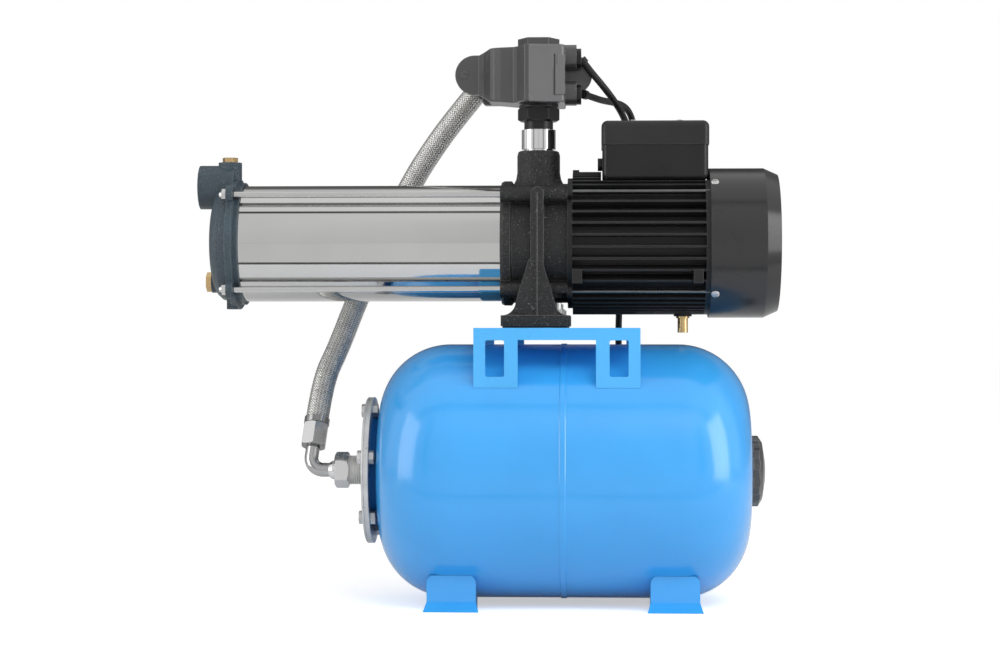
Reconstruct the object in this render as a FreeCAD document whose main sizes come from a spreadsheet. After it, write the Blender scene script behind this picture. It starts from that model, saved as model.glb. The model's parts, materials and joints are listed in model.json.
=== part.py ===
import FreeCAD, Part
import Sketcher
import math
import os
import re

# Booster pump station: a horizontal multistage pump and its motor on a horizontal pressure tank,
# with an electronic pressure controller on the outlet and a braided hose down to the tank.
# X runs along the shaft towards the fan, Y goes away from the viewer, Z is up.
# The origin is on the floor under the middle of the tank, at the centre of the four foot holes.

Vector = FreeCAD.Vector
Rotation = FreeCAD.Rotation

# Driving sizes in millimetres and degrees
SIZES = {
    # tank
    "tank_radius": 140, "tank_half_length": 204, "tank_axis_height": 146, "tank_wall": 1.5,
    "crown_edge": 0.5, "seam_width": 7.5, "seam_height": 0.9, "neck_radius": 61.5, "lip_width": 3.5,
    "flange_radius": 81, "flange_thickness": 2.6, "neck_reach": 14.5, "clamp_thickness": 2.4,
    "clamp_rim": 4, "rim_gap": 0.2,
    "bladder_lip": 1.2, "bladder_wall": 2, "bladder_gap": 3, "bladder_mouth": 24,
    "flange_bolt_circle": 69, "flange_bolt_radius": 4, "bolt_play": 0.4,
    "bolt_flats": 13, "bolt_head": 5, "flange_nut": 5.4,
    "nipple_radius": 16.4, "nipple_bore": 13.2, "nipple_length": 28.5,
    "thread_pitch": 2.3, "thread_depth": 1.1,
    "foot_spacing": 240, "foot_hole_spacing": 150, "foot_hole_radius": 4.5, "foot_width": 60,
    "web_width": 53, "foot_front": 100, "web_front": 90, "web_height": 40, "foot_sheet": 2.5,
    "lip_height": 10, "foot_depth": 44, "web_corner": 10,
    "valve_radius": 6, "valve_length": 12, "valve_neck_radius": 3.9, "valve_bore": 2.2,
    "pin_radius": 1.2, "pin_length": 14, "pin_proud": 1.5, "valve_flange": 9,
    "cap_radius": 39, "cap_height": 16.5, "cap_wall": 2.5, "cap_gap": 0.3, "cap_flat_radius": 14,
    # bracket
    "saddle_left": 95.4, "saddle_right": 82.5, "saddle_half_depth": 104, "saddle_rise": 18,
    "saddle_sheet": 2.5, "leg_width": 47.3, "saddle_band": 13, "window_width": 20.2,
    "window_height": 38.8, "window_drop": 52.1, "window_inset": 12.6, "window_corner": 2,
    "pad_thickness": 2, "pump_foot_thickness": 11.7, "pump_foot_half_width": 37.2,
    "pump_foot_half_depth": 75, "foot_bolt_radius": 4, "foot_bolt_along": 24.5, "foot_bolt_across": 58,
    "foot_bolt_end": 7,
    # pump
    "pump_rise": 94, "barrel_radius": 64.3, "barrel_wall": 1.2, "barrel_left": 362,
    "casing_left": 69, "barrel_socket": 5, "barrel_play": 0.15, "seal_section": 2.4,
    "casing_radius": 66, "casing_right": 4, "cavity_radius": 58, "back_wall": 9, "nozzle_along": 28.5,
    "lug_radius": 9.5, "rod_circle": 73, "rod_radius": 3.6, "rod_thread": 8, "cap_nut_flats": 11.5,
    "cap_nut_length": 8, "rib_radius": 69.5, "rib_width": 14,
    "pedestal_width": 42, "pedestal_fillet": 15, "nozzle_radius": 23.7, "nozzle_top": 97,
    "nozzle_lip": 1.6, "nozzle_lip_height": 5, "outlet_bore": 16.4,
    "cover_thickness": 12.5, "cover_body": 14.5, "cover_radius": 66.5, "cover_wall": 5, "cover_seat": 6.6,
    "cover_plate": 7.6, "cover_lap": 7, "rib_front": 71, "rib_top": 59, "ridge_width": 1.4,
    "ridge_proud": 0.8,
    "port_radius": 24.3, "port_height": 63, "port_reach": 406, "port_bore": 15.3, "port_depth": 22,
    "boss_base": 30, "boss_top": 90.5, "boss_radius": 13, "priming_along": 373, "plug_flats": 15,
    "plug_head": 5.5,
    "plug_thread_radius": 6.3, "plug_thread_length": 12, "plug_play": 0.05,
    "drain_height": 42.5, "drain_boss": 12, "drain_reach": 393, "drain_flats": 19, "drain_head": 6,
    "tab_height": 73, "tab_width": 30,
    "shaft_radius": 7, "stage_length": 44, "stage_wall": 2,
    "stage_left": 300, "impeller_radius": 50, "impeller_width": 14, "impeller_bore_play": 0.02,
    "hub_radius": 12, "eye_radius": 22, "shroud": 2, "stage_bore": 14.5,
    "end_nut_flats": 17, "end_nut_length": 9,
    "seal_seat_radius": 17, "seal_seat_length": 7, "seal_head_radius": 15, "seal_head_length": 14,
    # motor
    "shield_right": 9.5, "motor_right": 154, "frame_bore": 60, "frame_root": 66, "fin_radius": 79,
    "fin_thickness": 2.4, "shield_radius": 72, "motor_shaft_radius": 10, "shaft_right": 214,
    "bearing_outer": 20, "bearing_width": 12, "bearing_play": 0.03, "front_bearing_left": 14,
    "rear_bearing_left": 141, "hub_wall": 4, "rear_shield_thickness": 9, "shield_rim": 79,
    "stator_length": 84, "stator_left": 40, "rotor_radius": 34, "air_gap": 0.5, "winding_length": 14,
    "winding_outer": 55, "winding_inner": 38,
    "motor_rod_circle": 77, "motor_rod_radius": 1.9, "motor_rod_flats": 6.4, "motor_rod_head": 3,
    "cover_left": 159, "fan_cover_radius": 82.5, "fan_cover_wall": 1.6, "fan_cover_shoulder": 219,
    "fan_cover_end": 234.5, "fan_cover_rim": 75.5, "fan_radius": 66, "fan_left": 184.5, "fan_width": 26,
    "grille_hub": 14, "grille_ring": 3, "grille_slot": 4, "grille_margin": 3.5, "spoke_width": 5,
    "fan_screw_radius": 4.6, "fan_screw_height": 1.8,
    "recess_reach": 2.6, "recess_width": 1.1, "recess_depth": 0.9,
    "box_left": 42, "box_right": 157.5, "box_half_depth": 45, "box_rise": 67, "box_height": 39,
    "lid_height": 26.4, "box_wall": 2.5, "box_corner": 7,
    "lid_screw_radius": 3, "lid_screw_height": 0.8, "capacitor_radius": 17, "capacitor_length": 78,
    "side_plug_radius": 7, "side_plug_reach": 5, "side_plug_drop": 20, "spot_face": 8.5,
    "stub_along": 131, "stub_radius": 5.75, "stub_drop": 99, "stub_collar": 7.5,
    # outlet and controller
    "sleeve_radius": 18.85, "sleeve_base": 104, "sleeve_top": 125.6, "collar_radius": 16,
    "union_rise": 9.4, "union_flats": 40,
    "control_rise": 152.5, "control_height": 64, "control_left": 95, "control_right": 1,
    "control_front": 46, "control_back": 50, "body_edge": 1.8, "socket_flats": 40,
    "socket_proud": 10, "socket_bore": 15.3, "socket_depth": 18, "ear_radius": 21.9,
    "ear_left": 100.5, "ear_right": 8.7, "ear_thickness": 9, "ear_back": 25, "ear_rise": 36.7,
    "ear_screw_along": 111.5, "ear_screw_radius": 4.4, "latch_width": 11, "latch_height": 43,
    "latch_proud": 1.5, "latch_slot": 2,
    "flow_bore": 14.5, "seat_bore": 10, "seat_rise": 17.5,
    "check_radius": 12.5, "check_thickness": 3.5, "check_stem": 2.5, "check_stem_length": 30,
    "guide_rise": 43.5, "guide_thickness": 4, "guide_play": 0.3,
    "spring_radius": 7, "spring_wire": 0.9, "spring_turns": 4, "spring_height": 20,
    "board_width": 50, "board_height": 36, "board_thickness": 1.6, "cover_depth": 14,
    "button_radius": 8, "button_height": 5, "button_travel": 2, "button_play": 0.15,
    # hose and its fittings
    "hose_diameter": 26, "ferrule_radius": 14.2, "ferrule_length": 7,
    "hose_nut_flats": 26, "hose_nut_length": 27, "upper_nut_length": 22, "elbow_radius": 7.8,
    "elbow_bend": 14,
    "elbow_nut_flats": 35, "elbow_nut_length": 16, "elbow_nut_overlap": 8, "elbow_collar": 15.5,
    "elbow_collar_length": 3, "elbow_neck": 10.4, "port_passage": 7, "cross_passage": 5, "cross_rise": 49.5,
    "elbow_along": 284, "elbow_port_radius": 8.4,
    "elbow_port_along": 79, "elbow_port_rise": 53.5,
    # leads
    "lead_diameter": 7.6, "gland_radius": 9, "gland_length": 12, "relief_length": 9,
    "gland_block_radius": 13.6, "gland_ring": 11, "gland_ring_length": 5.2,
    "gland_depth": 4, "upper_gland_rise": 54.5, "lower_gland_rise": 14.3, "gland_block": 13.5,
    "gland_nose": 6.5,
    "coil_radius": 44, "coil_section": 16, "coil_along": 10, "coil_depth": 244, "coil_exit": 12,
    "plug_radius": 16, "plug_length": 30, "plug_neck_length": 22, "plug_neck_radius": 6,
    "plug_tip_depth": 206, "prong_radius": 2.4, "prong_length": 19, "prong_spacing": 19,
}

# Radii and heights that follow from the sizes, so that what stands on a piece moves with it
FOLLOWING = {
    "flange_face": "tank_half_length + neck_reach",
    "union_base": "sleeve_top + union_rise",
    "knuckle_radius": "tank_radius - neck_radius - crown_edge",
    "saddle_top": "tank_axis_height + tank_radius + saddle_rise",
    "window_base": "saddle_top - window_drop",
    "pump_axis_height": "saddle_top + pump_rise",
    "stub_bottom": "pump_axis_height - stub_drop",
    "box_base": "pump_axis_height + box_rise",
    "box_split": "box_base + box_height",
    "box_top": "box_split + lid_height",
    "control_base": "pump_axis_height + control_rise",
    "control_top": "control_base + control_height",
    "socket_top": "control_top + socket_proud",
    "ear_height": "control_base + ear_rise",
    "seat_height": "control_base + seat_rise",
    "guide_base": "control_base + guide_rise",
    "cross_height": "control_base + cross_rise",
    "elbow_port_height": "control_base + elbow_port_rise",
    "upper_gland_height": "control_base + upper_gland_rise",
    "lower_gland_height": "control_base + lower_gland_rise",
}

doc = FreeCAD.newDocument("booster_pump_station")
sheet = doc.addObject("Spreadsheet::Sheet", "sizes")
cells = {**SIZES, **{name: "=" + text for name, text in FOLLOWING.items()}}
for row, (name, value) in enumerate(cells.items(), 1):
    sheet.set("A%d" % row, name)
    sheet.set("B%d" % row, str(value))
    sheet.setAlias("B%d" % row, name)
doc.recompute()

WORD = re.compile(r"[a-z_]+")
NODES = []


def linked(text):
    """The expression with each size led by the name of its sheet."""
    return WORD.sub(lambda found: "sizes." + found.group() if found.group() in cells else found.group(),
                    str(text))


def worth(text):
    """The value of an expression in the sizes."""
    return float(sheet.evalExpression(linked(text)))


def bind(thing, prop, text):
    thing.setExpression(prop, linked(text))


AIMS = {
    "Z": Rotation(), "-Z": Rotation(Vector(1, 0, 0), 180), "X": Rotation(Vector(0, 1, 0), 90),
    "-X": Rotation(Vector(0, 1, 0), -90), "Y": Rotation(Vector(1, 0, 0), -90),
    "-Y": Rotation(Vector(1, 0, 0), 90),
}


def place(thing, at=(0, 0, 0), aim="Z", turn=None):
    """Puts a thing at a point given by expressions, its own Z along aim, then turned about an axis."""
    rotation = AIMS[aim] if turn is None else turn.multiply(AIMS[aim])
    thing.Placement = FreeCAD.Placement(Vector(), rotation)
    for letter, text in zip("xyz", at):
        bind(thing, "Placement.Base." + letter, text)
    return thing


def round_bar(radius, length):
    thing = doc.addObject("Part::Cylinder", "cylinder")
    bind(thing, "Radius", radius)
    bind(thing, "Height", length)
    return thing


def cone_bar(radius, end_radius, length):
    thing = doc.addObject("Part::Cone", "cone")
    bind(thing, "Radius1", radius)
    bind(thing, "Radius2", end_radius)
    bind(thing, "Height", length)
    return thing


def hexagon_bar(flats, length):
    thing = doc.addObject("Part::Prism", "hexagon")
    thing.Polygon = 6
    bind(thing, "Circumradius", "(%s) / 2 / cos(30)" % flats)
    bind(thing, "Height", length)
    return thing


def nut_bar(flats, length):
    """A hexagon whose corners are turned down at both ends."""
    corner = "(%s) / 2 / cos(30)" % flats
    bevel = "0.05 * (%s)" % flats
    blank = turned([
        (0, 0), (0, "(%s) / 2" % flats), (bevel, corner), ("%s - %s" % (length, bevel), corner),
        (length, "(%s) / 2" % flats), (length, 0),
    ], upright=True)
    return common(hexagon_bar(flats, length), blank)


def cylinder(radius, length, at=(0, 0, 0), aim="Z", turn=None):
    return place(round_bar(radius, length), at, aim, turn)


def cone(radius, end_radius, length, at=(0, 0, 0), aim="Z"):
    return place(cone_bar(radius, end_radius, length), at, aim)


def hexagon(flats, length, at=(0, 0, 0), aim="Z", turn=None):
    return place(hexagon_bar(flats, length), at, aim, turn)


def block(size, corner, turn=None):
    thing = doc.addObject("Part::Box", "block")
    for prop, text in zip(("Length", "Width", "Height"), size):
        bind(thing, prop, text)
    return place(thing, corner, "Z", turn)


def between(low, high, turn=None):
    """A block from one corner to the opposite one."""
    return block(["(%s) - (%s)" % (b, a) for a, b in zip(low, high)], low, turn)


def fused(*things):
    thing = doc.addObject("Part::MultiFuse", "fused")
    thing.Shapes = list(things)
    thing.Refine = True
    return thing


def cut(base, *tools):
    thing = doc.addObject("Part::Cut", "cut")
    thing.Base = base
    thing.Tool = tools[0] if len(tools) == 1 else fused(*tools)
    thing.Refine = False
    return thing


def common(first, second):
    thing = doc.addObject("Part::Common", "common")
    thing.Base = first
    thing.Tool = second
    return thing


def group(*things):
    thing = doc.addObject("Part::Compound", "group")
    thing.Links = list(things)
    return thing


def rounded(thing, radius, wanted):
    """The thing with the edges that wanted picks filleted."""
    doc.recompute()
    numbers = [i for i, edge in enumerate(thing.Shape.Edges, 1) if wanted(edge)]
    fillet = doc.addObject("Part::Fillet", "rounded")
    fillet.Base = thing
    fillet.Edges = [(i, worth(radius), worth(radius)) for i in numbers]
    return fillet


def along(letter):
    """Picks straight edges along an axis."""
    def wanted(edge):
        if edge.Curve.TypeId != "Part::GeomLine":
            return False
        return abs(getattr(edge.Curve.Direction, letter)) > 0.999
    return wanted


def sketch(body, plane_role, outline, arcs):
    """A closed outline whose corners are pairs of expressions. arcs gives, for the side that starts at a
    corner, its radius and the place of its centre, both as expressions."""
    drawing = body.newObject("Sketcher::SketchObject", "outline")
    plane = [feature for feature in body.Origin.OriginFeatures if feature.Role == plane_role][0]
    drawing.AttachmentSupport = [(plane, "")]
    drawing.MapMode = "FlatFace"
    corners = [(worth(a), worth(b)) for a, b in outline]
    count = len(corners)
    ends = []
    for i in range(count):
        start = Vector(*corners[i], 0)
        finish = Vector(*corners[(i + 1) % count], 0)
        if i not in arcs:
            drawing.addGeometry(Part.LineSegment(start, finish))
            ends.append((1, 2))
            continue
        radius, centre = arcs[i]
        middle = Vector(worth(centre[0]), worth(centre[1]), 0)
        half = (start - middle + finish - middle).normalize() * worth(radius) + middle
        arc = Part.Arc(start, half, finish).toShape().Curve
        angles = [math.atan2((p - middle).y, (p - middle).x) for p in (start, half, finish)]
        forward = (angles[1] - angles[0]) % (2 * math.pi) < (angles[2] - angles[0]) % (2 * math.pi)
        first, last = (angles[0], angles[2]) if forward else (angles[2], angles[0])
        circle = Part.Circle(middle, Vector(0, 0, 1), arc.Radius)
        drawing.addGeometry(Part.ArcOfCircle(circle, first, last if last > first else last + 2 * math.pi))
        drawing.addConstraint(Sketcher.Constraint("Radius", i, arc.Radius))
        bind(drawing, "Constraints[%d]" % (drawing.ConstraintCount - 1), radius)
        ends.append((1, 2) if forward else (2, 1))
    for i in range(count):
        after = (i + 1) % count
        drawing.addConstraint(Sketcher.Constraint("Coincident", i, ends[i][1], after, ends[after][0]))
    for i, texts in enumerate(outline):
        for kind, text, value in zip(("DistanceX", "DistanceY"), texts, corners[i]):
            drawing.addConstraint(Sketcher.Constraint(kind, -1, 1, i, ends[i][0], value))
            bind(drawing, "Constraints[%d]" % (drawing.ConstraintCount - 1), text)
    return drawing


def turned(outline, at=(0, 0, 0), arcs=None, upright=False):
    """A body turned about X, or about Z when upright. The outline has places along the axis and radii."""
    body = doc.addObject("PartDesign::Body", "turned")
    if upright:
        outline = [(radius, place_along) for place_along, radius in outline]
    drawing = sketch(body, "XZ_Plane", outline, arcs or {})
    turn = body.newObject("PartDesign::Revolution", "turn")
    turn.Profile = drawing
    turn.ReferenceAxis = (drawing, ["V_Axis" if upright else "H_Axis"])
    turn.Angle = 360
    drawing.Visibility = False
    return place(body, at)


def plate(outline, low, high, plane_role="XZ_Plane", at=(0, 0, 0), arcs=None):
    """A body padded from an outline: along Y on the XZ plane, along Z on XY, along X on YZ."""
    body = doc.addObject("PartDesign::Body", "plate")
    drawing = sketch(body, plane_role, outline, arcs or {})
    pad = body.newObject("PartDesign::Pad", "pad")
    pad.Profile = drawing
    bind(pad, "Length", "(%s) - (%s)" % (high, low))
    pad.Reversed = plane_role == "XZ_Plane"
    shift = {"XZ_Plane": 1, "XY_Plane": 2, "YZ_Plane": 0}[plane_role]
    texts = [str(text) for text in at]
    texts[shift] = "(%s) + (%s)" % (texts[shift], low)
    drawing.Visibility = False
    return place(body, texts)


def node(label, thing, at=None):
    """Names a finished piece and puts it in its place."""
    thing.Label = label
    if at:
        place(thing, at)
    NODES.append(thing)
    return thing


PUMP = (0, 0, "pump_axis_height")
TANK = (0, 0, "tank_axis_height")
OUTLET = ("-nozzle_along", 0, "pump_axis_height")


def around(angle, circle, along_x):
    """The place on a circle about X, its angle counted from the viewer's side upwards."""
    return (along_x, "-(%s) * cos(%g)" % (circle, angle), "(%s) * sin(%g)" % (circle, angle))


def about_x(angle):
    return Rotation(Vector(1, 0, 0), -angle)


# Tank shell: two drawn heads and a round body, welded into one, with a neck on the left
knuckle_end = "tank_half_length - knuckle_radius"
knuckle_centre = "tank_radius - knuckle_radius"
lip_outer = "-(flange_face - flange_thickness - bladder_lip)"
inner_knuckle = "knuckle_radius - tank_wall"
shell_outline = [
    (lip_outer, "neck_radius - tank_wall"), (lip_outer, "neck_radius + lip_width"),
    ("%s + tank_wall" % lip_outer, "neck_radius + lip_width"),
    ("%s + tank_wall" % lip_outer, "neck_radius"),
    ("-tank_half_length", "neck_radius"), ("-tank_half_length", knuckle_centre),
    ("-(%s)" % knuckle_end, "tank_radius"), ("-seam_width / 2", "tank_radius"),
    ("-seam_width / 3", "tank_radius + seam_height"), ("seam_width / 3", "tank_radius + seam_height"),
    ("seam_width / 2", "tank_radius"), (knuckle_end, "tank_radius"), ("tank_half_length", knuckle_centre),
    ("tank_half_length", "valve_radius + 0.2"), ("tank_half_length - tank_wall", "valve_radius + 0.2"),
    ("tank_half_length - tank_wall", knuckle_centre), (knuckle_end, "tank_radius - tank_wall"),
    ("-(%s)" % knuckle_end, "tank_radius - tank_wall"),
    ("tank_wall - tank_half_length", knuckle_centre),
    ("tank_wall - tank_half_length", "neck_radius - tank_wall"),
]
shell_arcs = {
    5: ("knuckle_radius", ("-(%s)" % knuckle_end, knuckle_centre)),
    11: ("knuckle_radius", (knuckle_end, knuckle_centre)),
    15: (inner_knuckle, (knuckle_end, knuckle_centre)),
    17: (inner_knuckle, ("-(%s)" % knuckle_end, knuckle_centre)),
}
node("tank_shell", turned(shell_outline, TANK, shell_arcs))

# Bladder: a rubber bag inside the shell, its lip clamped at the neck
bag = "tank_radius - tank_wall - bladder_gap"
bag_end = "tank_half_length - tank_wall - bladder_gap - 12"
bag_outline = [
    ("-(flange_face - flange_thickness)", "bladder_mouth"),
    ("-(flange_face - flange_thickness)", "neck_radius + lip_width"),
    (lip_outer, "neck_radius + lip_width"),
    (lip_outer, "bladder_mouth + bladder_wall"),
    ("-(tank_half_length - 22)", "bladder_mouth + bladder_wall"),
    ("-(%s) + 24" % knuckle_end, bag), ("(%s) - 24" % knuckle_end, bag), (bag_end, knuckle_centre),
    (bag_end, 0),
    ("(%s) - bladder_wall" % bag_end, 0), ("(%s) - bladder_wall" % bag_end, knuckle_centre),
    ("(%s) - 26" % knuckle_end, "(%s) - bladder_wall" % bag),
    ("-(%s) + 26" % knuckle_end, "(%s) - bladder_wall" % bag),
    ("-(tank_half_length - 24)", "bladder_mouth"),
]
node("tank_bladder", turned(bag_outline, TANK))

# Flange with its nipple, backing ring, bolts and nuts
FLANGE_ANGLES = (75, 15, -45, -105, -165, 135)
flange_inner = "-(flange_face - flange_thickness)"
neck_top = "%s + tank_wall" % lip_outer


def flange_holes(low, length):
    hole = "flange_bolt_radius + bolt_play"
    return [cylinder(hole, length, around(angle, "flange_bolt_circle", low), "X")
            for angle in FLANGE_ANGLES]


nipple_end = "-(flange_face + nipple_length)"
NIPPLE_THREADS = 10
thread = []
for turn_number in range(NIPPLE_THREADS):
    ridge_start = "%s + 1 + %d * thread_pitch" % (nipple_end, turn_number)
    thread.append((ridge_start, "nipple_radius"))
    thread.append(("%s + thread_pitch / 2" % ridge_start, "nipple_radius - thread_depth"))
flange_disc = turned([
    (nipple_end, "nipple_bore"), (nipple_end, "nipple_radius - 1"), *thread,
    ("-flange_face - 3", "nipple_radius"), ("-flange_face", "nipple_radius + 3"),
    ("-flange_face", "flange_radius - 1"),
    ("-flange_face + 1", "flange_radius"), (flange_inner, "flange_radius"), (flange_inner, "nipple_bore"),
])
node("tank_flange", cut(flange_disc, *flange_holes("-flange_face - 1", "flange_thickness + 2")), TANK)
clamp_ring = turned([
    (neck_top, "neck_radius + bolt_play"), (neck_top, "flange_radius - clamp_rim"),
    ("%s + rim_gap" % flange_inner, "flange_radius - clamp_rim"),
    ("%s + rim_gap" % flange_inner, "flange_radius"),
    ("%s + clamp_thickness" % neck_top, "flange_radius"),
    ("%s + clamp_thickness" % neck_top, "neck_radius + bolt_play"),
])
node("clamp_ring", cut(clamp_ring, *flange_holes("%s - 1" % neck_top, "clamp_thickness + 2")), TANK)
nut_face = "%s + clamp_thickness" % neck_top
flange_fasteners = []
for angle in FLANGE_ANGLES:
    turn = about_x(angle - 90)
    head = hexagon("bolt_flats", "bolt_head", around(angle, "flange_bolt_circle", "-flange_face"), "-X",
                   turn.multiply(Rotation(Vector(1, 0, 0), 30)))
    shank_length = "(%s) + flange_nut + flange_face + 0.5" % nut_face
    shank = cylinder("flange_bolt_radius", shank_length,
                     around(angle, "flange_bolt_circle", "-flange_face"), "X")
    nut = hexagon("bolt_flats", "flange_nut", around(angle, "flange_bolt_circle", nut_face), "X",
                  turn.multiply(Rotation(Vector(1, 0, 0), 30)))
    thread = cylinder("flange_bolt_radius + 0.05", "flange_nut + 2",
                      around(angle, "flange_bolt_circle", "%s - 1" % nut_face), "X")
    flange_fasteners += [fused(head, shank), cut(nut, thread)]
node("flange_bolts", group(*flange_fasteners), TANK)

# Air valve, its pin and the cap over it
valve_end = "tank_half_length - tank_wall"
valve = turned([
    ("%s - 2.5" % valve_end, "valve_bore"), ("%s - 2.5" % valve_end, "valve_flange"),
    (valve_end, "valve_flange"),
    (valve_end, "valve_radius"), ("tank_half_length + 3", "valve_radius"),
    ("tank_half_length + 3", "valve_neck_radius"), ("tank_half_length + valve_length", "valve_neck_radius"),
    ("tank_half_length + valve_length", "valve_bore"),
], TANK)
node("air_valve", valve)
pin_head = "tank_half_length + valve_length - pin_proud"
pin_low = "tank_half_length - tank_wall - 2.5"
node("air_valve_pin", turned([
    ("%s - 1.2" % pin_low, 0), ("%s - 1.2" % pin_low, "valve_bore + 1.2"), (pin_low, "valve_bore + 1.2"),
    (pin_low, "pin_radius"), (pin_head, "pin_radius"), (pin_head, 0),
], TANK))
cap_end = "tank_half_length + cap_gap + cap_height"
cap_body = turned([
    ("tank_half_length + cap_gap", "cap_radius - cap_wall"), ("tank_half_length + cap_gap", "cap_radius"),
    ("tank_half_length + cap_gap + 9", "cap_radius"), ("%s - 3" % cap_end, "cap_radius - 7"),
    (cap_end, "cap_flat_radius"), (cap_end, 0), ("%s - cap_wall" % cap_end, 0),
    ("%s - cap_wall" % cap_end, "cap_flat_radius"),
    ("tank_half_length + cap_gap + 8", "cap_radius - cap_wall"),
])
dimples = [cylinder("cap_radius / 3", "cap_height",
                    around(angle, "cap_radius + cap_radius / 3 - 2", "tank_half_length + 3"), "X")
           for angle in range(15, 360, 30)]
node("air_valve_cap", cut(cap_body, *dimples), TANK)

# Pressed feet, shaped to the shell above them
feet = {"front_left": (-1, -1), "front_right": (1, -1), "back_left": (-1, 1), "back_right": (1, 1)}
for corner_name, (side, depth) in feet.items():
    def toward(text, sign=depth):
        """The distance from the tank's middle, out to this foot's side."""
        return "(%s) * %d" % (text, sign)
    section = [
        (toward("foot_front"), 0), (toward("foot_front - foot_sheet"), "foot_sheet"),
        (toward("web_front"), "lip_height"), (toward("web_front"), "web_height"),
        (toward("web_front - foot_sheet"), "web_height"),
        (toward("web_front - foot_sheet"), "foot_sheet + 3"),
        (toward("web_front - foot_sheet - 3"), "foot_sheet"),
        (toward("foot_front - foot_depth"), "foot_sheet"),
        (toward("foot_front - foot_depth"), 0),
    ]
    centre = "%d * foot_spacing / 2" % side
    pressed = plate(section, "-foot_width / 2", "foot_width / 2", "YZ_Plane")
    trimmed = [
        (toward("foot_front"), "-foot_width / 2"), (toward("foot_front"), "foot_width / 2"),
        (toward("web_front"), "web_width / 2"), (toward("foot_front - foot_depth"), "web_width / 2"),
        (toward("foot_front - foot_depth"), "-web_width / 2"), (toward("web_front"), "-web_width / 2"),
    ]
    plan = plate([(b, a) for a, b in trimmed], 0, "web_height + 1", "XY_Plane")
    front = "web_front" if depth > 0 else "-foot_front + foot_depth"
    back = "foot_front - foot_depth" if depth > 0 else "-web_front"
    walls = [between(("%d * web_width / 2 - %d * foot_sheet" % (s, s > 0), back, 1),
                     ("%d * web_width / 2 + %d * foot_sheet" % (s, s < 0), front, "web_height"))
                     for s in (-1, 1)]
    upper = rounded(between(("-web_width / 2", "-foot_front", 1),
                            ("web_width / 2", "foot_front", "web_height")),
                    "web_corner", lambda edge: along("y")(edge) and edge.CenterOfMass.z > worth("web_height") - 1)
    lower = between(("-foot_width / 2", "-foot_front", 0), ("foot_width / 2", "foot_front", "lip_height"))
    solid = common(fused(common(pressed, plan), *walls), fused(upper, lower))
    shell_space = cylinder("tank_radius", "foot_width * 2", ("-foot_width", 0, "tank_axis_height"), "X")
    hole = cylinder("foot_hole_radius", "foot_sheet * 2",
                    (0, toward("foot_hole_spacing / 2"), "-foot_sheet / 2"))
    node("tank_foot_" + corner_name, cut(solid, shell_space, hole), (centre, 0, 0))

# Bracket: a folded sheet bridge with two legs and windows at the front and at the back
leg_foot = "tank_axis_height + sqrt(tank_radius ^ 2 - (saddle_half_depth - saddle_sheet) ^ 2) - 20"
front_outline = [
    ("-saddle_left", leg_foot), ("-saddle_left", "saddle_top"), ("saddle_right", "saddle_top"),
    ("saddle_right", leg_foot), ("saddle_right - leg_width", leg_foot),
    ("saddle_right - leg_width", "saddle_top - saddle_band"),
    ("leg_width - saddle_left", "saddle_top - saddle_band"),
    ("leg_width - saddle_left", leg_foot),
]
faces = []
for low in ("-saddle_half_depth", "saddle_half_depth - saddle_sheet"):
    faces.append(plate(front_outline, low, "%s + saddle_sheet" % low))
top_sheet = between(("-saddle_left", "-saddle_half_depth", "saddle_top - saddle_sheet"),
                    ("saddle_right", "saddle_half_depth", "saddle_top"))
windows = []
for left in ("window_inset - saddle_left", "saddle_right - window_inset - window_width"):
    opening = between((left, "-saddle_half_depth - 10", "window_base"),
                      ("%s + window_width" % left, "saddle_half_depth + 10", "window_base + window_height"))
    windows.append(rounded(opening, "window_corner", along("y")))
tank_space = cylinder("tank_radius", "saddle_left + saddle_right + 20",
                      ("-saddle_left - 10", 0, "tank_axis_height"), "X")
bolt_holes = [cylinder("foot_bolt_radius + bolt_play", "saddle_sheet * 3",
                       ("foot_bolt_along - nozzle_along - 2", "%d * foot_bolt_across" % side,
                        "saddle_top - saddle_sheet * 2"))
              for side in (-1, 1)]
node("pump_saddle", cut(fused(*faces, top_sheet), tank_space, *windows, *bolt_holes))

# Pad and bolts under the pump's foot
foot_centre = "-nozzle_along - 2"
pad_low = ("%s - pump_foot_half_width + 2" % foot_centre, "2 - pump_foot_half_depth", "saddle_top")
pad_high = ("%s + pump_foot_half_width - 2" % foot_centre, "pump_foot_half_depth - 2",
            "saddle_top + pad_thickness")
pad_holes = [cylinder("foot_bolt_radius + bolt_play", "pad_thickness * 3",
                      ("%s + foot_bolt_along" % foot_centre, "%d * foot_bolt_across" % side,
                       "saddle_top - pad_thickness"))
             for side in (-1, 1)]
node("foot_pad", cut(between(pad_low, pad_high), *pad_holes))
foot_fasteners = []
stack_top = "saddle_top + pad_thickness + pump_foot_thickness"
for side in (-1, 1):
    spot = ("%s + foot_bolt_along" % foot_centre, "%d * foot_bolt_across" % side)
    head = hexagon("bolt_flats", "bolt_head", (*spot, "saddle_top - saddle_sheet - bolt_head"))
    shank = cylinder("foot_bolt_radius",
                     "saddle_sheet + pad_thickness + pump_foot_thickness + 6.5 + foot_bolt_end",
                     (*spot, "saddle_top - saddle_sheet"))
    nut = cut(hexagon("bolt_flats", 6.5, (*spot, stack_top)),
              cylinder("foot_bolt_radius + 0.05", 10, (*spot, "%s - 1" % stack_top)))
    foot_fasteners += [fused(head, shank), nut]
node("foot_bolts", group(*foot_fasteners))

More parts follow.
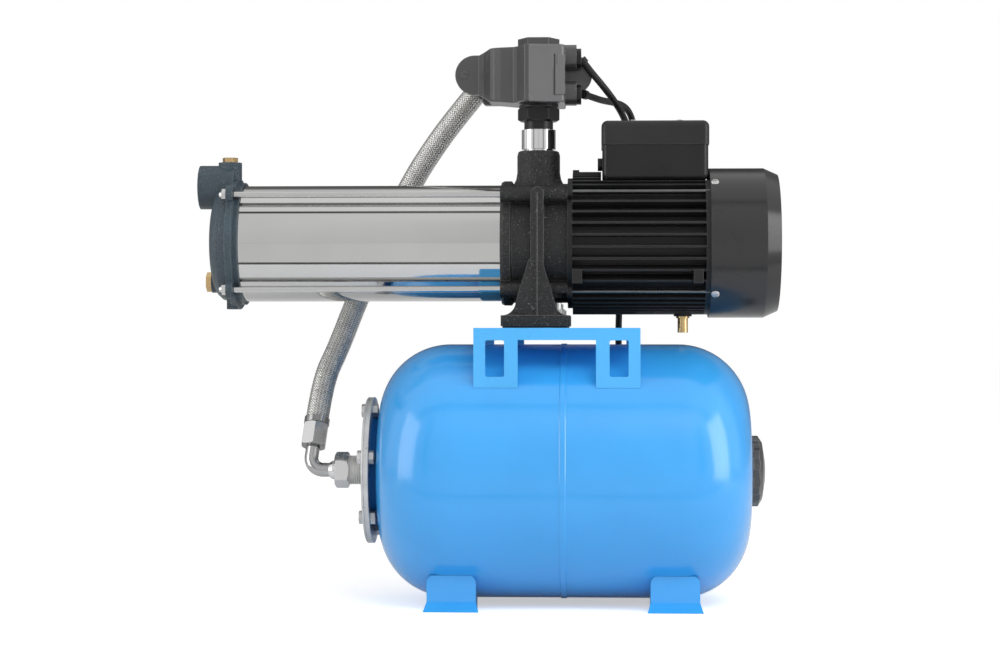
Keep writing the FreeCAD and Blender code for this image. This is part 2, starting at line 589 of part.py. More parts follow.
# Discharge casing: round body with lugs, a rib that flares into the foot, and the nozzle
ROD_ANGLES = (45, 135, -135, -45)
wall_left = "casing_right - back_wall"
casing_body = turned([
    ("-casing_left", "cavity_radius"), ("-casing_left", "casing_radius + 1.5"),
    ("3 - casing_left", "casing_radius + 3"), ("11 - casing_left", "casing_radius + 3"),
    ("13 - casing_left", "casing_radius"), ("casing_right", "casing_radius"),
    ("casing_right", "seal_seat_radius + 4"),
    ("casing_right", "motor_shaft_radius + 2"), (wall_left, "motor_shaft_radius + 2"),
    (wall_left, "cavity_radius"),
])
lugs = []
for angle in ROD_ANGLES:
    lugs.append(cylinder("lug_radius", "casing_left + casing_right",
                         around(angle, "rod_circle", "-casing_left"), "X"))
rib = cut(cylinder("rib_radius", "rib_width", ("-nozzle_along - rib_width / 2", 0, 0), "X"),
          cylinder("cavity_radius + 1", "rib_width + 2", ("-nozzle_along - rib_width / 2 - 1", 0, 0), "X"))
foot_drop = "pump_axis_height - saddle_top - pad_thickness"
foot_face = "-(%s) + pump_foot_thickness" % foot_drop
pedestal_side = "pedestal_width / 2"
pedestal_outline = [
    ("-rib_width / 2", "-20"), ("rib_width / 2", "-20"), ("%s - 4" % pedestal_side, "%s + 28" % foot_face),
    (pedestal_side, "%s + pedestal_fillet" % foot_face),
    ("%s + pedestal_fillet" % pedestal_side, foot_face),
    ("-(%s) - pedestal_fillet" % pedestal_side, foot_face),
    ("-(%s)" % pedestal_side, "%s + pedestal_fillet" % foot_face),
    ("-(%s) + 4" % pedestal_side, "%s + 28" % foot_face),
]
pedestal_arcs = {
    3: ("pedestal_fillet", ("%s + pedestal_fillet" % pedestal_side, "%s + pedestal_fillet" % foot_face)),
    5: ("pedestal_fillet", ("-(%s) - pedestal_fillet" % pedestal_side, "%s + pedestal_fillet" % foot_face)),
}
pedestal = plate(pedestal_outline, "1 - rib_front", "rib_front - 1",
                 at=(foot_centre, 0, 0), arcs=pedestal_arcs)
pedestal = cut(pedestal, cylinder("casing_radius - 3", "casing_left * 3", ("-casing_left * 2", 0, 0), "X"))
rib_shoulder = "rib_top - rib_width / 2"
rib_outline = [
    ("-rib_width / 2", -22), ("rib_width / 2", -22), ("rib_width / 2", rib_shoulder), (0, "rib_top"),
    ("-rib_width / 2", rib_shoulder),
]
rib_arcs = {2: ("rib_width / 2", (0, rib_shoulder)), 3: ("rib_width / 2", (0, rib_shoulder))}
ribs = [plate(rib_outline, near, far, at=("-nozzle_along", 0, 0), arcs=rib_arcs)
        for near, far in (("-rib_front", "20 - rib_front"), ("rib_front - 20", "rib_front"))]
ridge = between(("-nozzle_along - ridge_width / 2", "-rib_front - ridge_proud", foot_face),
                ("ridge_width / 2 - nozzle_along", "rib_front + ridge_proud", rib_shoulder))
foot_plate = between(("%s - pump_foot_half_width" % foot_centre, "-pump_foot_half_depth",
                      "-(%s)" % foot_drop),
                     ("%s + pump_foot_half_width" % foot_centre, "pump_foot_half_depth", foot_face))
foot_plate = rounded(foot_plate, "window_corner * 2", along("z"))
nozzle = turned([
    ("cavity_radius - 4", 0), ("cavity_radius - 4", "nozzle_radius + 6.5"),
    ("casing_radius - 4", "nozzle_radius + 6.5"),
    ("casing_radius", "nozzle_radius + 3.5"), ("casing_radius + 5", "nozzle_radius + 1.2"),
    ("casing_radius + 12", "nozzle_radius"),
    ("nozzle_top", "nozzle_radius"),
    ("nozzle_top + nozzle_lip_height - 1", "nozzle_radius - nozzle_lip + 0.5"),
    ("nozzle_top + nozzle_lip_height", "nozzle_radius - nozzle_lip - 1"),
    ("nozzle_top + nozzle_lip_height", 0),
], ("-nozzle_along", 0, 0), upright=True)
socket_hole = cylinder("barrel_radius + barrel_play", "barrel_socket", ("-casing_left", 0, 0), "X")
outlet_hole = cylinder("outlet_bore + 0.1", "nozzle_top", ("-nozzle_along", 0, "cavity_radius - 8"))
seat_hole = cylinder("seal_seat_radius + 0.1", "seal_seat_length", (wall_left, 0, 0), "X")
rod_holes = [cylinder("rod_radius + 0.05", "rod_thread + 1",
                      around(angle, "rod_circle", "-casing_left - 1"), "X")
             for angle in ROD_ANGLES]
motor_holes = [cylinder("motor_rod_radius + 0.05", "16.2",
                        around(angle, "motor_rod_circle", "casing_right - 16"), "X")
               for angle in ROD_ANGLES]
foot_holes = [cylinder("foot_bolt_radius + bolt_play", "pump_foot_thickness * 3",
                       ("%s + foot_bolt_along" % foot_centre, "%d * foot_bolt_across" % side,
                        "-(%s) - 5" % foot_drop))
              for side in (-1, 1)]
nut_spaces = [cylinder("spot_face", 25,
                       ("%s + foot_bolt_along" % foot_centre, "%d * foot_bolt_across" % side, foot_face))
              for side in (-1, 1)]
casing_solid = fused(casing_body, *lugs, rib, *ribs, ridge, pedestal, foot_plate, nozzle)
casing_space = cylinder("cavity_radius", "casing_left + casing_right - back_wall + 5",
                        ("-casing_left - 5", 0, 0), "X")
node("discharge_casing", cut(casing_solid, casing_space, socket_hole, outlet_hole, seat_hole, *rod_holes,
                             *motor_holes,
                             *foot_holes, *nut_spaces), PUMP)

# Suction cover: dished cover with the inlet port, the priming boss, the drain boss and a tab
cover_left = "-(barrel_left + cover_thickness + cover_body)"
plate_left = "-(barrel_left + cover_seat)"
plate_right = "%s + cover_plate" % plate_left
cover_body = turned([
    (plate_right, "cover_radius + 6"), (plate_left, "cover_radius + 6"), (plate_left, "cover_radius - 1.5"),
    ("%s + 9.5" % cover_left, "cover_radius - 4"), ("%s + 4.5" % cover_left, "cover_radius - 8.5"),
    ("%s + 1.5" % cover_left, "cover_radius - 14"), (cover_left, "cover_radius - 20"), (cover_left, 0),
    (plate_right, 0),
])
ears = [cylinder("lug_radius + 1", "cover_plate", around(angle, "rod_circle", plate_left), "X")
        for angle in ROD_ANGLES]
port_body = cylinder("port_radius", "port_reach - barrel_left - 4", ("-port_reach", 0, "port_height"), "X")
priming_boss = cylinder("boss_radius", "boss_top - boss_base", ("-priming_along", 0, "boss_base"))
drain_boss = cylinder("drain_boss", "drain_reach - barrel_left - 4", ("-drain_reach", 0, "-drain_height"),
                      "X")
tab = between(("-barrel_left - cover_thickness", "-tab_width / 2", "-tab_height"),
              ("-barrel_left - 1", "tab_width / 2", 0))
skirt = cylinder("cover_radius + 1.5", "cover_lap", ("-barrel_left", 0, 0), "X")
cover_solid = fused(cover_body, *ears, port_body, priming_boss, drain_boss, tab, skirt)
bowl = turned([
    ("-barrel_left + 1", 0), ("-barrel_left + 1", "cavity_radius"),
    ("-barrel_left - cover_thickness", "cavity_radius"),
    ("%s + cover_wall + 2" % cover_left, "cavity_radius - 8"), ("%s + cover_wall + 2" % cover_left, 0),
])
port_hole = cylinder("port_bore", "port_depth", ("-port_reach", 0, "port_height"), "X")
inlet = cylinder("port_bore - 3", "port_reach - barrel_left - port_depth",
                 ("port_depth - port_reach - 1", 0, "port_height - 8"), "X")
priming_hole = cylinder("plug_thread_radius + plug_play", "boss_top", ("-priming_along", 0, 40))
drain_hole = cylinder("plug_thread_radius + plug_play", "drain_reach - barrel_left - 4",
                      ("-drain_reach - 1", 0, "-drain_height"), "X")
cover_rod_holes = [cylinder("rod_radius + bolt_play", "cover_plate + 4",
                            around(angle, "rod_circle", "%s - 2" % plate_left), "X")
                            for angle in ROD_ANGLES]
cap_nut_spaces = [cylinder("spot_face - 1", "cover_thickness", around(angle, "rod_circle", plate_left),
                           "-X")
                  for angle in ROD_ANGLES]
cover_socket = cylinder("barrel_radius + barrel_play", "cover_lap + 1", ("-barrel_left", 0, 0), "X")
node("suction_cover", cut(cover_solid, bowl, port_hole, inlet, priming_hole, drain_hole, *cover_rod_holes,
                          *cap_nut_spaces,
                          cover_socket), PUMP)

# Barrel between the cover and the casing, with its seals
barrel_end = "barrel_socket - casing_left"
node("pump_barrel", turned([
    ("-barrel_left", "barrel_radius - barrel_wall"), ("-barrel_left", "barrel_radius"),
    (barrel_end, "barrel_radius"),
    (barrel_end, "barrel_radius - barrel_wall"),
], PUMP))
seal_inner = "barrel_radius - barrel_wall - seal_section - 0.1"
rings = []
for along_x in ("-barrel_left", "(%s) - seal_section" % barrel_end):
    rings.append(turned([
        (along_x, seal_inner), (along_x, "%s + seal_section" % seal_inner),
        ("%s + seal_section" % along_x, "%s + seal_section" % seal_inner),
        ("%s + seal_section" % along_x, seal_inner),
    ]))
node("barrel_seals", group(*rings), PUMP)

# Tie rods with cap nuts at the suction end
rods = []
for angle in ROD_ANGLES:
    rods.append(cylinder("rod_radius", "barrel_left + cover_seat - casing_left + rod_thread",
                         around(angle, "rod_circle", plate_left), "X"))
    nut = hexagon("cap_nut_flats", "cap_nut_length - 3", around(angle, "rod_circle", plate_left), "-X",
                  about_x(angle))
    dome = cone("cap_nut_flats / 2", "cap_nut_flats / 4", "cap_nut_length",
                around(angle, "rod_circle", plate_left), "-X")
    rods.append(fused(nut, dome))
node("pump_tie_rods", group(*rods), PUMP)

# Brass plugs
node("priming_plug", fused(
    hexagon("plug_flats", "plug_head", (0, 0, "boss_top")),
    cylinder("plug_thread_radius", "plug_thread_length", (0, 0, "boss_top - plug_thread_length"))),
    ("-priming_along", 0, "pump_axis_height"))
node("drain_plug", fused(
    hexagon("drain_flats", "drain_head", ("-drain_reach", 0, 0), "-X"),
    cylinder("plug_thread_radius", "plug_thread_length", ("-drain_reach", 0, 0), "X")),
    (0, 0, "pump_axis_height - drain_height"))

# Stages: fixed housings stacked in the barrel, an impeller turning in each
STAGES = 5
housing_outer = "barrel_radius - barrel_wall - barrel_play"
housings = []
wheels = []
for stage in range(STAGES):
    start = "%d * stage_length - stage_left" % stage
    housings.append(turned([
        (start, "eye_radius + 1"), (start, housing_outer), ("%s + stage_length" % start, housing_outer),
        ("%s + stage_length" % start, "%s - 6" % housing_outer),
        ("%s + stage_length - 12" % start, "stage_bore"), ("%s + stage_length - 14" % start, "stage_bore"),
        ("%s + stage_length - 14" % start, "impeller_radius - 8"),
        ("%s + stage_length - 4" % start, "%s - stage_wall - 4" % housing_outer),
        ("%s + stage_length - 4" % start, "%s - stage_wall" % housing_outer),
        ("%s + stage_wall" % start, "%s - stage_wall" % housing_outer),
        ("%s + stage_wall" % start, "eye_radius + 1"),
    ]))
    wheel = "%s + stage_wall + 3" % start
    wheel_bore = "shaft_radius + impeller_bore_play"
    hub = turned([
        ("%s - 3" % wheel, wheel_bore), ("%s - 3" % wheel, "hub_radius"),
        ("%s + impeller_width - shroud" % wheel, "hub_radius"),
        ("%s + impeller_width - shroud" % wheel, "impeller_radius"),
        ("%s + impeller_width" % wheel, "impeller_radius"),
        ("%s + impeller_width" % wheel, "hub_radius + 1"),
        ("%s + stage_length - 3" % wheel, "hub_radius + 1"),
        ("%s + stage_length - 3" % wheel, wheel_bore),
    ])
    front_shroud = turned([
        (wheel, "eye_radius - 3"), (wheel, "eye_radius"), ("%s + 3" % wheel, "impeller_radius"),
        ("%s + 3 + shroud" % wheel, "impeller_radius"), ("%s + shroud" % wheel, "eye_radius - 3"),
    ])
    vanes = []
    for vane in range(6):
        turn = Rotation(Vector(1, 0, 0), 60 * vane)
        vanes.append(block(("impeller_width - 3", "shroud", "impeller_radius - hub_radius - 2"),
                           ("%s + 2" % wheel, "(hub_radius - 1) * cos(%d) - shroud / 2 * cos(%d)" % (60 * vane + 90, 60 * vane),
                            "(hub_radius - 1) * sin(%d) - shroud / 2 * sin(%d)" % (60 * vane + 90,
                                                                                   60 * vane)), turn))
    wheels.append(fused(hub, front_shroud, *vanes))
node("stage_housings", group(*housings), PUMP)
node("impellers", group(*wheels), PUMP)
wheels_left = "-stage_left + stage_wall"
node("impeller_nut", cut(
    hexagon("end_nut_flats", "end_nut_length", ("%s - end_nut_length" % wheels_left, 0, 0), "X"),
    cylinder("shaft_radius + 0.02", "end_nut_length + 2", ("%s - end_nut_length - 1" % wheels_left, 0, 0),
             "X")), PUMP)

# Shaft, from the impellers through both bearings to the fan
node("rotor_shaft", turned([
    ("%s - end_nut_length - 3" % wheels_left, 0), ("%s - end_nut_length - 3" % wheels_left, "shaft_radius"),
    ("-casing_left + 12", "shaft_radius"), ("-casing_left + 12", "motor_shaft_radius"),
    ("shaft_right - 30", "motor_shaft_radius"), ("shaft_right - 30", "shaft_radius"),
    ("shaft_right", "shaft_radius"),
    ("shaft_right", 0),
], PUMP))

# Mechanical seal: fixed seat in the casing wall, head on the shaft
node("seal_seat", turned([
    (wall_left, "motor_shaft_radius + 0.6"), (wall_left, "seal_seat_radius"),
    ("%s + seal_seat_length" % wall_left, "seal_seat_radius"),
    ("%s + seal_seat_length" % wall_left, "motor_shaft_radius + 0.6"),
], PUMP))
head_right = "%s - 0.02" % wall_left
node("seal_head", turned([
    ("%s - seal_head_length" % head_right, "motor_shaft_radius + 0.02"),
    ("%s - seal_head_length" % head_right, "seal_head_radius"),
    ("%s - 3" % head_right, "seal_head_radius"), (head_right, "seal_head_radius - 2"),
    (head_right, "motor_shaft_radius + 0.02"),
], PUMP))

# Motor shields with the bearing seats
bearing_hole = "bearing_outer + 0.02"
front_shield = turned([
    ("casing_right", "motor_shaft_radius + 1"), ("casing_right", "shield_radius"),
    ("shield_right", "shield_radius"),
    ("shield_right", "frame_bore - 0.2"), ("shield_right + 5", "frame_bore - 0.2"),
    ("shield_right + 5", "frame_bore - 4"),
    ("shield_right", "frame_bore - 4"), ("shield_right", "bearing_outer + hub_wall"),
    ("front_bearing_left + bearing_width", "bearing_outer + hub_wall"),
    ("front_bearing_left + bearing_width", bearing_hole),
    ("front_bearing_left", bearing_hole), ("front_bearing_left", "motor_shaft_radius + 1"),
])
shield_ears = [cylinder("lug_radius - 2", "shield_right - casing_right",
                        around(angle, "motor_rod_circle", "casing_right"), "X")
               for angle in ROD_ANGLES]
shield_holes = [cylinder("motor_rod_radius + bolt_play", 12,
                         around(angle, "motor_rod_circle", "casing_right - 1"), "X")
                for angle in ROD_ANGLES]
node("front_shield", cut(fused(front_shield, *shield_ears), *shield_holes), PUMP)
rear_face = "motor_right + rear_shield_thickness"
rear_shield = turned([
    ("motor_right", "frame_bore - 4"), ("motor_right - 5", "frame_bore - 4"),
    ("motor_right - 5", "frame_bore - 0.2"),
    ("motor_right", "frame_bore - 0.2"), ("motor_right", "shield_rim"), ("cover_left", "shield_rim"),
    ("cover_left", "fan_cover_radius - fan_cover_wall - barrel_play"),
    (rear_face, "fan_cover_radius - fan_cover_wall - barrel_play"),
    (rear_face, "motor_shaft_radius + 1"), ("rear_bearing_left + bearing_width", "motor_shaft_radius + 1"),
    ("rear_bearing_left + bearing_width", bearing_hole), ("rear_bearing_left", bearing_hole),
    ("rear_bearing_left", "bearing_outer + hub_wall"), ("motor_right", "bearing_outer + hub_wall"),
])
box_space_low = ("box_left - 1.2", "-box_half_depth - 1.5", "box_base - pump_axis_height")
box_space_high = ("box_right + 1.2", "box_half_depth + 1.5", "fin_radius * 2")
rear_holes = [cylinder("motor_rod_radius + bolt_play", "rear_shield_thickness + 2",
                       around(angle, "motor_rod_circle", "motor_right - 1"), "X")
              for angle in ROD_ANGLES]
node("rear_shield", cut(rear_shield, *rear_holes, between(box_space_low, box_space_high)), PUMP)

# Ball bearings, drawn as closed rings
bearings = []
for left in ("front_bearing_left", "rear_bearing_left"):
    right = "%s + bearing_width" % left
    bearings.append(turned([
        (left, "motor_shaft_radius + bearing_play"), (left, "motor_shaft_radius + 3"),
        ("%s + 1" % left, "motor_shaft_radius + 3"),
        ("%s + 1" % left, "bearing_outer - 3"), (left, "bearing_outer - 3"), (left, "bearing_outer"),
        (right, "bearing_outer"), (right, "bearing_outer - 3"), ("%s - 1" % right, "bearing_outer - 3"),
        ("%s - 1" % right, "motor_shaft_radius + 3"), (right, "motor_shaft_radius + 3"),
        (right, "motor_shaft_radius + bearing_play"),
    ]))
node("shaft_bearings", group(*bearings), PUMP)

# Motor frame with fins, pads, and a seat for the terminal box
frame_length = "motor_right - shield_right"
tube = cylinder("frame_root", frame_length, ("shield_right", 0, 0), "X")
fin_angles = [-33.25 + 9.5 * i + side for side in (0, 180) for i in range(8)]
fin_angles += [52 + 5.85 * i for i in range(14)] + [-128 + 5.85 * i for i in range(14)]
fins = []
for angle in fin_angles:
    turn = about_x(angle)
    size = (frame_length, "fin_radius - frame_root + 3", "fin_thickness")
    corner = ("shield_right",
              "-fin_radius * cos(%g) - fin_thickness / 2 * sin(%g)" % (angle, angle),
              "fin_radius * sin(%g) - fin_thickness / 2 * cos(%g)" % (angle, angle))
    fins.append(block(size, corner, turn))
frame_pads = []
for side in (-1, 1):
    for left in ("shield_right", "motor_right - 14"):
        depth_low = "-fin_radius - 1" if side < 0 else "frame_root - 16"
        depth_high = "16 - frame_root" if side < 0 else "fin_radius + 1"
        frame_pads.append(between((left, depth_low, -46), ("%s + 10.5" % left, depth_high, -31)))
box_seat = between(("box_left + 14", "-34", "frame_root - 8"),
                   ("box_right - 20", "34", "box_base - pump_axis_height"))
stub_seat = cylinder("stub_collar + 2.5", "fin_radius + 2 - frame_root + 4",
                     ("stub_along", 0, "-fin_radius - 2"))
lug = between(("shield_right", -5, "fin_radius - 8"), ("shield_right + 7", 5, "fin_radius + 2"))
bore = cylinder("frame_bore", "%s + 2" % frame_length, ("shield_right - 1", 0, 0), "X")
rod_spaces = [cylinder("motor_rod_radius + 1", "%s + 2" % frame_length,
                       around(angle, "motor_rod_circle", "shield_right - 1"), "X")
              for angle in ROD_ANGLES]
stub_hole = cylinder("stub_radius + 0.05", "fin_radius - frame_bore + 6",
                     ("stub_along", 0, "-fin_radius - 3"))
lead_hole = cylinder(9, 40, ("(box_left + box_right) / 2", 0, "frame_bore - 4"))
frame_solid = fused(tube, *fins, *frame_pads, box_seat, stub_seat, lug)
node("motor_frame", cut(frame_solid, bore, *rod_spaces, stub_hole, lead_hole,
                        between(box_space_low, box_space_high)), PUMP)

# Stator, windings and rotor core
stator_right = "stator_left + stator_length"
node("stator_core", turned([
    ("stator_left", "rotor_radius + air_gap"), ("stator_left", "frame_bore - 0.05"),
    (stator_right, "frame_bore - 0.05"),
    (stator_right, "rotor_radius + air_gap"),
], PUMP))
coils = []
for low in ("stator_left - winding_length", stator_right):
    coils.append(turned([
        (low, "winding_inner + 3"), (low, "winding_outer - 3"), ("%s + 4" % low, "winding_outer"),
        ("%s + winding_length - 4" % low, "winding_outer"),
        ("%s + winding_length" % low, "winding_outer - 3"),
        ("%s + winding_length" % low, "winding_inner + 3"),
        ("%s + winding_length - 4" % low, "winding_inner"),
        ("%s + 4" % low, "winding_inner"),
    ]))
node("stator_windings", group(*coils), PUMP)
node("rotor_core", turned([
    ("stator_left", "motor_shaft_radius + 0.02"), ("stator_left", "rotor_radius"),
    (stator_right, "rotor_radius"),
    (stator_right, "motor_shaft_radius + 0.02"),
], PUMP))

# Long screws that hold the two shields on the frame
long_screws = []
for angle in ROD_ANGLES:
    spot = around(angle, "motor_rod_circle", "casing_right - 15")
    shank = cylinder("motor_rod_radius", "%s - casing_right + 15" % rear_face, spot, "X")
    head = hexagon("motor_rod_flats", "motor_rod_head", around(angle, "motor_rod_circle", rear_face), "X",
                   about_x(angle))
    long_screws.append(fused(shank, head))
node("motor_screws", group(*long_screws), PUMP)

# Fan on the shaft and the cover round it
fan_right = "fan_left + fan_width"
fan_hub = turned([
    ("fan_left", "shaft_radius + 0.02"), ("fan_left", "hub_radius + 2"), ("fan_left + 8", "hub_radius + 2"),
    ("fan_left + 8", "fan_radius"), ("fan_left + 10", "fan_radius"), ("fan_left + 10", "hub_radius + 2"),
    (fan_right, "hub_radius + 2"), (fan_right, "shaft_radius + 0.02"),
])
blades = []
for blade in range(7):
    angle = 360 / 7 * blade
    blades.append(block(("fan_width - 4", "shroud", "fan_radius - hub_radius - 4"),
                        ("fan_left + 2", "(hub_radius + 1) * cos(%g) - shroud / 2 * cos(%g)" % (angle + 90,
                                                                                                angle),
                         "(hub_radius + 1) * sin(%g) - shroud / 2 * sin(%g)" % (angle + 90, angle)),
                        Rotation(Vector(1, 0, 0), angle)))
node("cooling_fan", fused(fan_hub, *blades), PUMP)
hood = turned([
    ("cover_left", "fan_cover_radius - fan_cover_wall"), ("cover_left", "fan_cover_radius"),
    ("fan_cover_shoulder", "fan_cover_radius"), ("fan_cover_end", "fan_cover_rim"), ("fan_cover_end", 0),
    ("fan_cover_end - fan_cover_wall", 0), ("fan_cover_end - fan_cover_wall", "fan_cover_rim - 1"),
    ("fan_cover_shoulder - 1", "fan_cover_radius - fan_cover_wall"),
])
GRILLE_ROWS = 7
slots = []
grille_depth = "fan_cover_wall + 3"
for row in range(GRILLE_ROWS):
    inner = "grille_hub + %d * (grille_ring + grille_slot)" % row
    slots.append(cut(cylinder("%s + grille_slot" % inner, grille_depth,
                              ("fan_cover_end - fan_cover_wall - 1", 0, 0), "X"),
                     cylinder(inner, "%s + 2" % grille_depth, ("fan_cover_end - fan_cover_wall - 2", 0, 0),
                              "X")))
spoke_reach = "(fan_cover_rim - grille_margin)"
spokes = []
for angle in (0, 45, 90, 135):
    spoke_start = ("fan_cover_end - 10",
                   "-%s * cos(%d) + spoke_width / 2 * sin(%d)" % (spoke_reach, angle, angle),
                   "-%s * sin(%d) - spoke_width / 2 * cos(%d)" % (spoke_reach, angle, angle))
    spokes.append(block((16, "2 * %s" % spoke_reach, "spoke_width"), spoke_start,
                        Rotation(Vector(1, 0, 0), angle)))
node("fan_cover", cut(hood, cut(fused(*slots), fused(*spokes))), PUMP)

# Terminal box, its lid, the capacitor inside and the plug in its side
box_low = ("box_left", "-box_half_depth", "box_base")
box_outer = rounded(between(box_low, ("box_right", "box_half_depth", "box_split")), "box_corner",
                    lambda edge: along("z")(edge) or edge.CenterOfMass.z < worth("box_base") + 1)
box_inner = between(("box_left + box_wall", "box_wall - box_half_depth", "box_base + box_wall"),
                    ("box_right - box_wall", "box_half_depth - box_wall", "box_split + 1"))
box_lead_hole = cylinder(9, 12, ("(box_left + box_right) / 2", 0, "box_base - 4"))
side_hole = cylinder("side_plug_radius - 1.5", 10,
                     ("box_left - 4", "-box_half_depth / 3", "box_split - side_plug_drop"), "X")
lead_gland = ("box_right - 14", "box_half_depth", "box_split - 19")
gland_hole = cylinder("gland_radius - 2", 10, (lead_gland[0], "%s - 5" % lead_gland[1], lead_gland[2]), "Y")
box_body = cut(box_outer, box_inner, box_lead_hole, side_hole, gland_hole)
node("terminal_box", box_body)
lid_outer = rounded(between(("box_left - 1", "-box_half_depth - 1", "box_split"),
                            ("box_right + 1", "box_half_depth + 1", "box_top")), "box_corner",
                    lambda edge: along("z")(edge) or edge.CenterOfMass.z > worth("box_top") - 1)
lid_inner = between(("box_left + box_wall", "box_wall - box_half_depth", "box_split - 1"),
                    ("box_right - box_wall", "box_half_depth - box_wall", "box_top - box_wall"))
node("terminal_box_lid", cut(lid_outer, lid_inner))
node("run_capacitor", rounded(cylinder("capacitor_radius", "capacitor_length",
                                       ("box_left + 20", 10, "box_base + box_wall + capacitor_radius + 0.3"), "X"),
                              "box_wall", lambda edge: True))

# Screws that hold covers: fan cover, terminal box lid and the controller's ears
screws = []
screw_x = "cover_left + 5"
FAN_SCREW_ANGLES = (51, 129, -44, -136)
for angle in FAN_SCREW_ANGLES:
    head = turned([
        (0, 0), (0, "fan_screw_radius"), ("fan_screw_height / 2", "fan_screw_radius - 0.3"),
        ("fan_screw_height - 0.3", "fan_screw_radius * 0.7"),
        ("fan_screw_height", "fan_screw_radius * 0.4"),
        ("fan_screw_height", 0),
    ], upright=True)
    slot_low = "fan_screw_height - recess_depth"
    recess = [between(("-recess_reach", "-recess_width / 2", slot_low),
                      ("recess_reach", "recess_width / 2", "fan_screw_height + 1")),
              between(("-recess_width / 2", "-recess_reach", slot_low),
                      ("recess_width / 2", "recess_reach", "fan_screw_height + 1"))]
    spot = (screw_x, "-fan_cover_radius * cos(%d)" % angle,
            "pump_axis_height + fan_cover_radius * sin(%d)" % angle)
    screws.append(place(cut(head, *recess), spot, "Z",
                        about_x(angle).multiply(Rotation(Vector(1, 0, 0), 90))))
for x in ("box_left + 33.5", "box_right - 31"):
    for side in (-1, 1):
        screws.append(cylinder("lid_screw_radius", "lid_screw_height",
                               (x, "%d * (box_half_depth - 9)" % side, "box_top")))
ear_screw = cylinder("ear_screw_radius", 1, ("-ear_screw_along", "ear_back - ear_thickness", "ear_height"),
                     "-Y")
screw_slot = between(("-ear_screw_along - ear_screw_radius", "ear_back - ear_thickness - 1.5",
                      "ear_height - 0.6"),
                     ("ear_screw_radius - ear_screw_along", "ear_back - ear_thickness - 0.4",
                      "ear_height + 0.6"))
screws.append(cut(ear_screw, screw_slot))
node("cover_screws", group(*screws))

# Brass stub under the motor frame
node("drain_stub", turned([
    ("stub_bottom - pump_axis_height", 2.5), ("stub_bottom - pump_axis_height", "stub_radius"),
    ("-fin_radius - 4", "stub_radius"), ("-fin_radius - 4", "stub_collar"),
    ("-fin_radius - 2", "stub_collar"),
    ("-fin_radius - 2", "stub_radius"), ("3 - frame_root", "stub_radius"), ("3 - frame_root", 2.5),
], ("stub_along", 0, "pump_axis_height"), upright=True))

# Outlet: chrome nipple screwed into the nozzle, union collar and nut under the controller
node("outlet_nipple", turned([
    ("nozzle_top - 14", "nipple_bore"), ("nozzle_top - 14", "outlet_bore"), ("sleeve_base", "outlet_bore"),
    ("sleeve_base", "sleeve_radius"), ("sleeve_top", "sleeve_radius"), ("sleeve_top", "nipple_bore"),
], OUTLET, upright=True))
union_top = "control_base - pump_axis_height - pad_thickness"
collar = cylinder("collar_radius", "%s - sleeve_top" % union_top, (0, 0, "sleeve_top"))
union_nut = place(nut_bar("union_flats", "%s - union_base" % union_top), (0, 0, "union_base"))
union_washer = cylinder("union_flats / 2 + 2", "pad_thickness", (0, 0, union_top))
node("union_nut", cut(fused(collar, union_nut, union_washer),
                      cylinder("nipple_bore", union_top, (0, 0, "sleeve_top - 1"))), OUTLET)

# Pressure controller: flow body, electronics cover behind it, board, button, check valve and spring
cover_front = "control_back - cover_depth"
plan_outline = [
    ("-control_left - 6", "ear_back"), ("-control_left - 6", "ear_back - ear_thickness"),
    ("-control_left - 1", "ear_back - ear_thickness"), ("5 - control_left", 8), ("9 - control_left", 0),
    ("13 - control_left", -8), ("17 - control_left", -12), ("25 - control_left", -15),
    ("39 - control_left", -17),
    ("43 - control_left", -22), ("47 - control_left", -34), ("52 - control_left", "1 - control_front"),
    ("57 - control_left", "-control_front"), ("control_right - 3", "-control_front"),
    ("control_right", "3 - control_front"),
    ("control_right", cover_front), ("-control_left", cover_front),
]
side_outline = [
    ("-control_left - 10", "ear_height - ear_radius"), ("-control_left - 1", "ear_height - ear_radius"),
    ("13 - control_left", "control_base + 4.5"), ("45 - control_left", "control_base + 1.5"),
    ("75 - control_left", "control_base"), ("control_right + 1", "control_base"),
    ("control_right + 1", "control_top - 1"), ("45 - control_left", "control_top"),
    ("13 - control_left", "control_top - 0.5"), ("-control_left - 1", "ear_height + ear_radius"),
    ("-control_left - 10", "ear_height + ear_radius"),
]
shape = common(plate(plan_outline, "control_base - 1", "control_top + 1", "XY_Plane"),
               plate(side_outline, "-control_front - 1", "control_back + 1"))
shape = rounded(shape, "body_edge", lambda edge: (
    edge.CenterOfMass.y < worth("ear_back") - 1 and edge.CenterOfMass.x > 1 - worth("control_left")))
ear_plate = [cylinder("ear_radius", "ear_thickness", (x, "ear_back - ear_thickness", "ear_height"), "Y")
             for x in ("-ear_left", "ear_right")]
ear_bars = [between(("-ear_left", "ear_back - ear_thickness", "ear_height - ear_radius"),
                    ("-control_left", "ear_back", "ear_height + ear_radius")),
            between(("control_right - 1", "ear_back - ear_thickness", "ear_height - ear_radius"),
                    ("ear_right", "ear_back", "ear_height + ear_radius"))]
gland_blocks = [cylinder("gland_block_radius", "gland_block - control_right + 5",
                         ("control_right - 5", "gland_depth", height), "X")
                for height in ("upper_gland_height", "lower_gland_height")]
latch_low = "ear_height - 7 - latch_height / 2"
latch_top = "ear_height - 7 + latch_height / 2"
latch_left = "control_right - latch_width"
latch = between((latch_left, "-control_front - latch_proud", latch_low),
                ("control_right", "5 - control_front", latch_top))
latch_gap = between(("%s - 1" % latch_left, "-control_front - latch_proud - 1", "%s - 1" % latch_low),
                    ("%s + latch_slot - 1" % latch_left, "latch_slot - control_front",
                     "%s + 1" % latch_top))
latch_step = between(("%s - 1" % latch_left, "-control_front - latch_proud - 1",
                      "%s - latch_width" % latch_top),
                     ("%s + latch_slot * 2" % latch_left, "-control_front", "%s + 1" % latch_top))
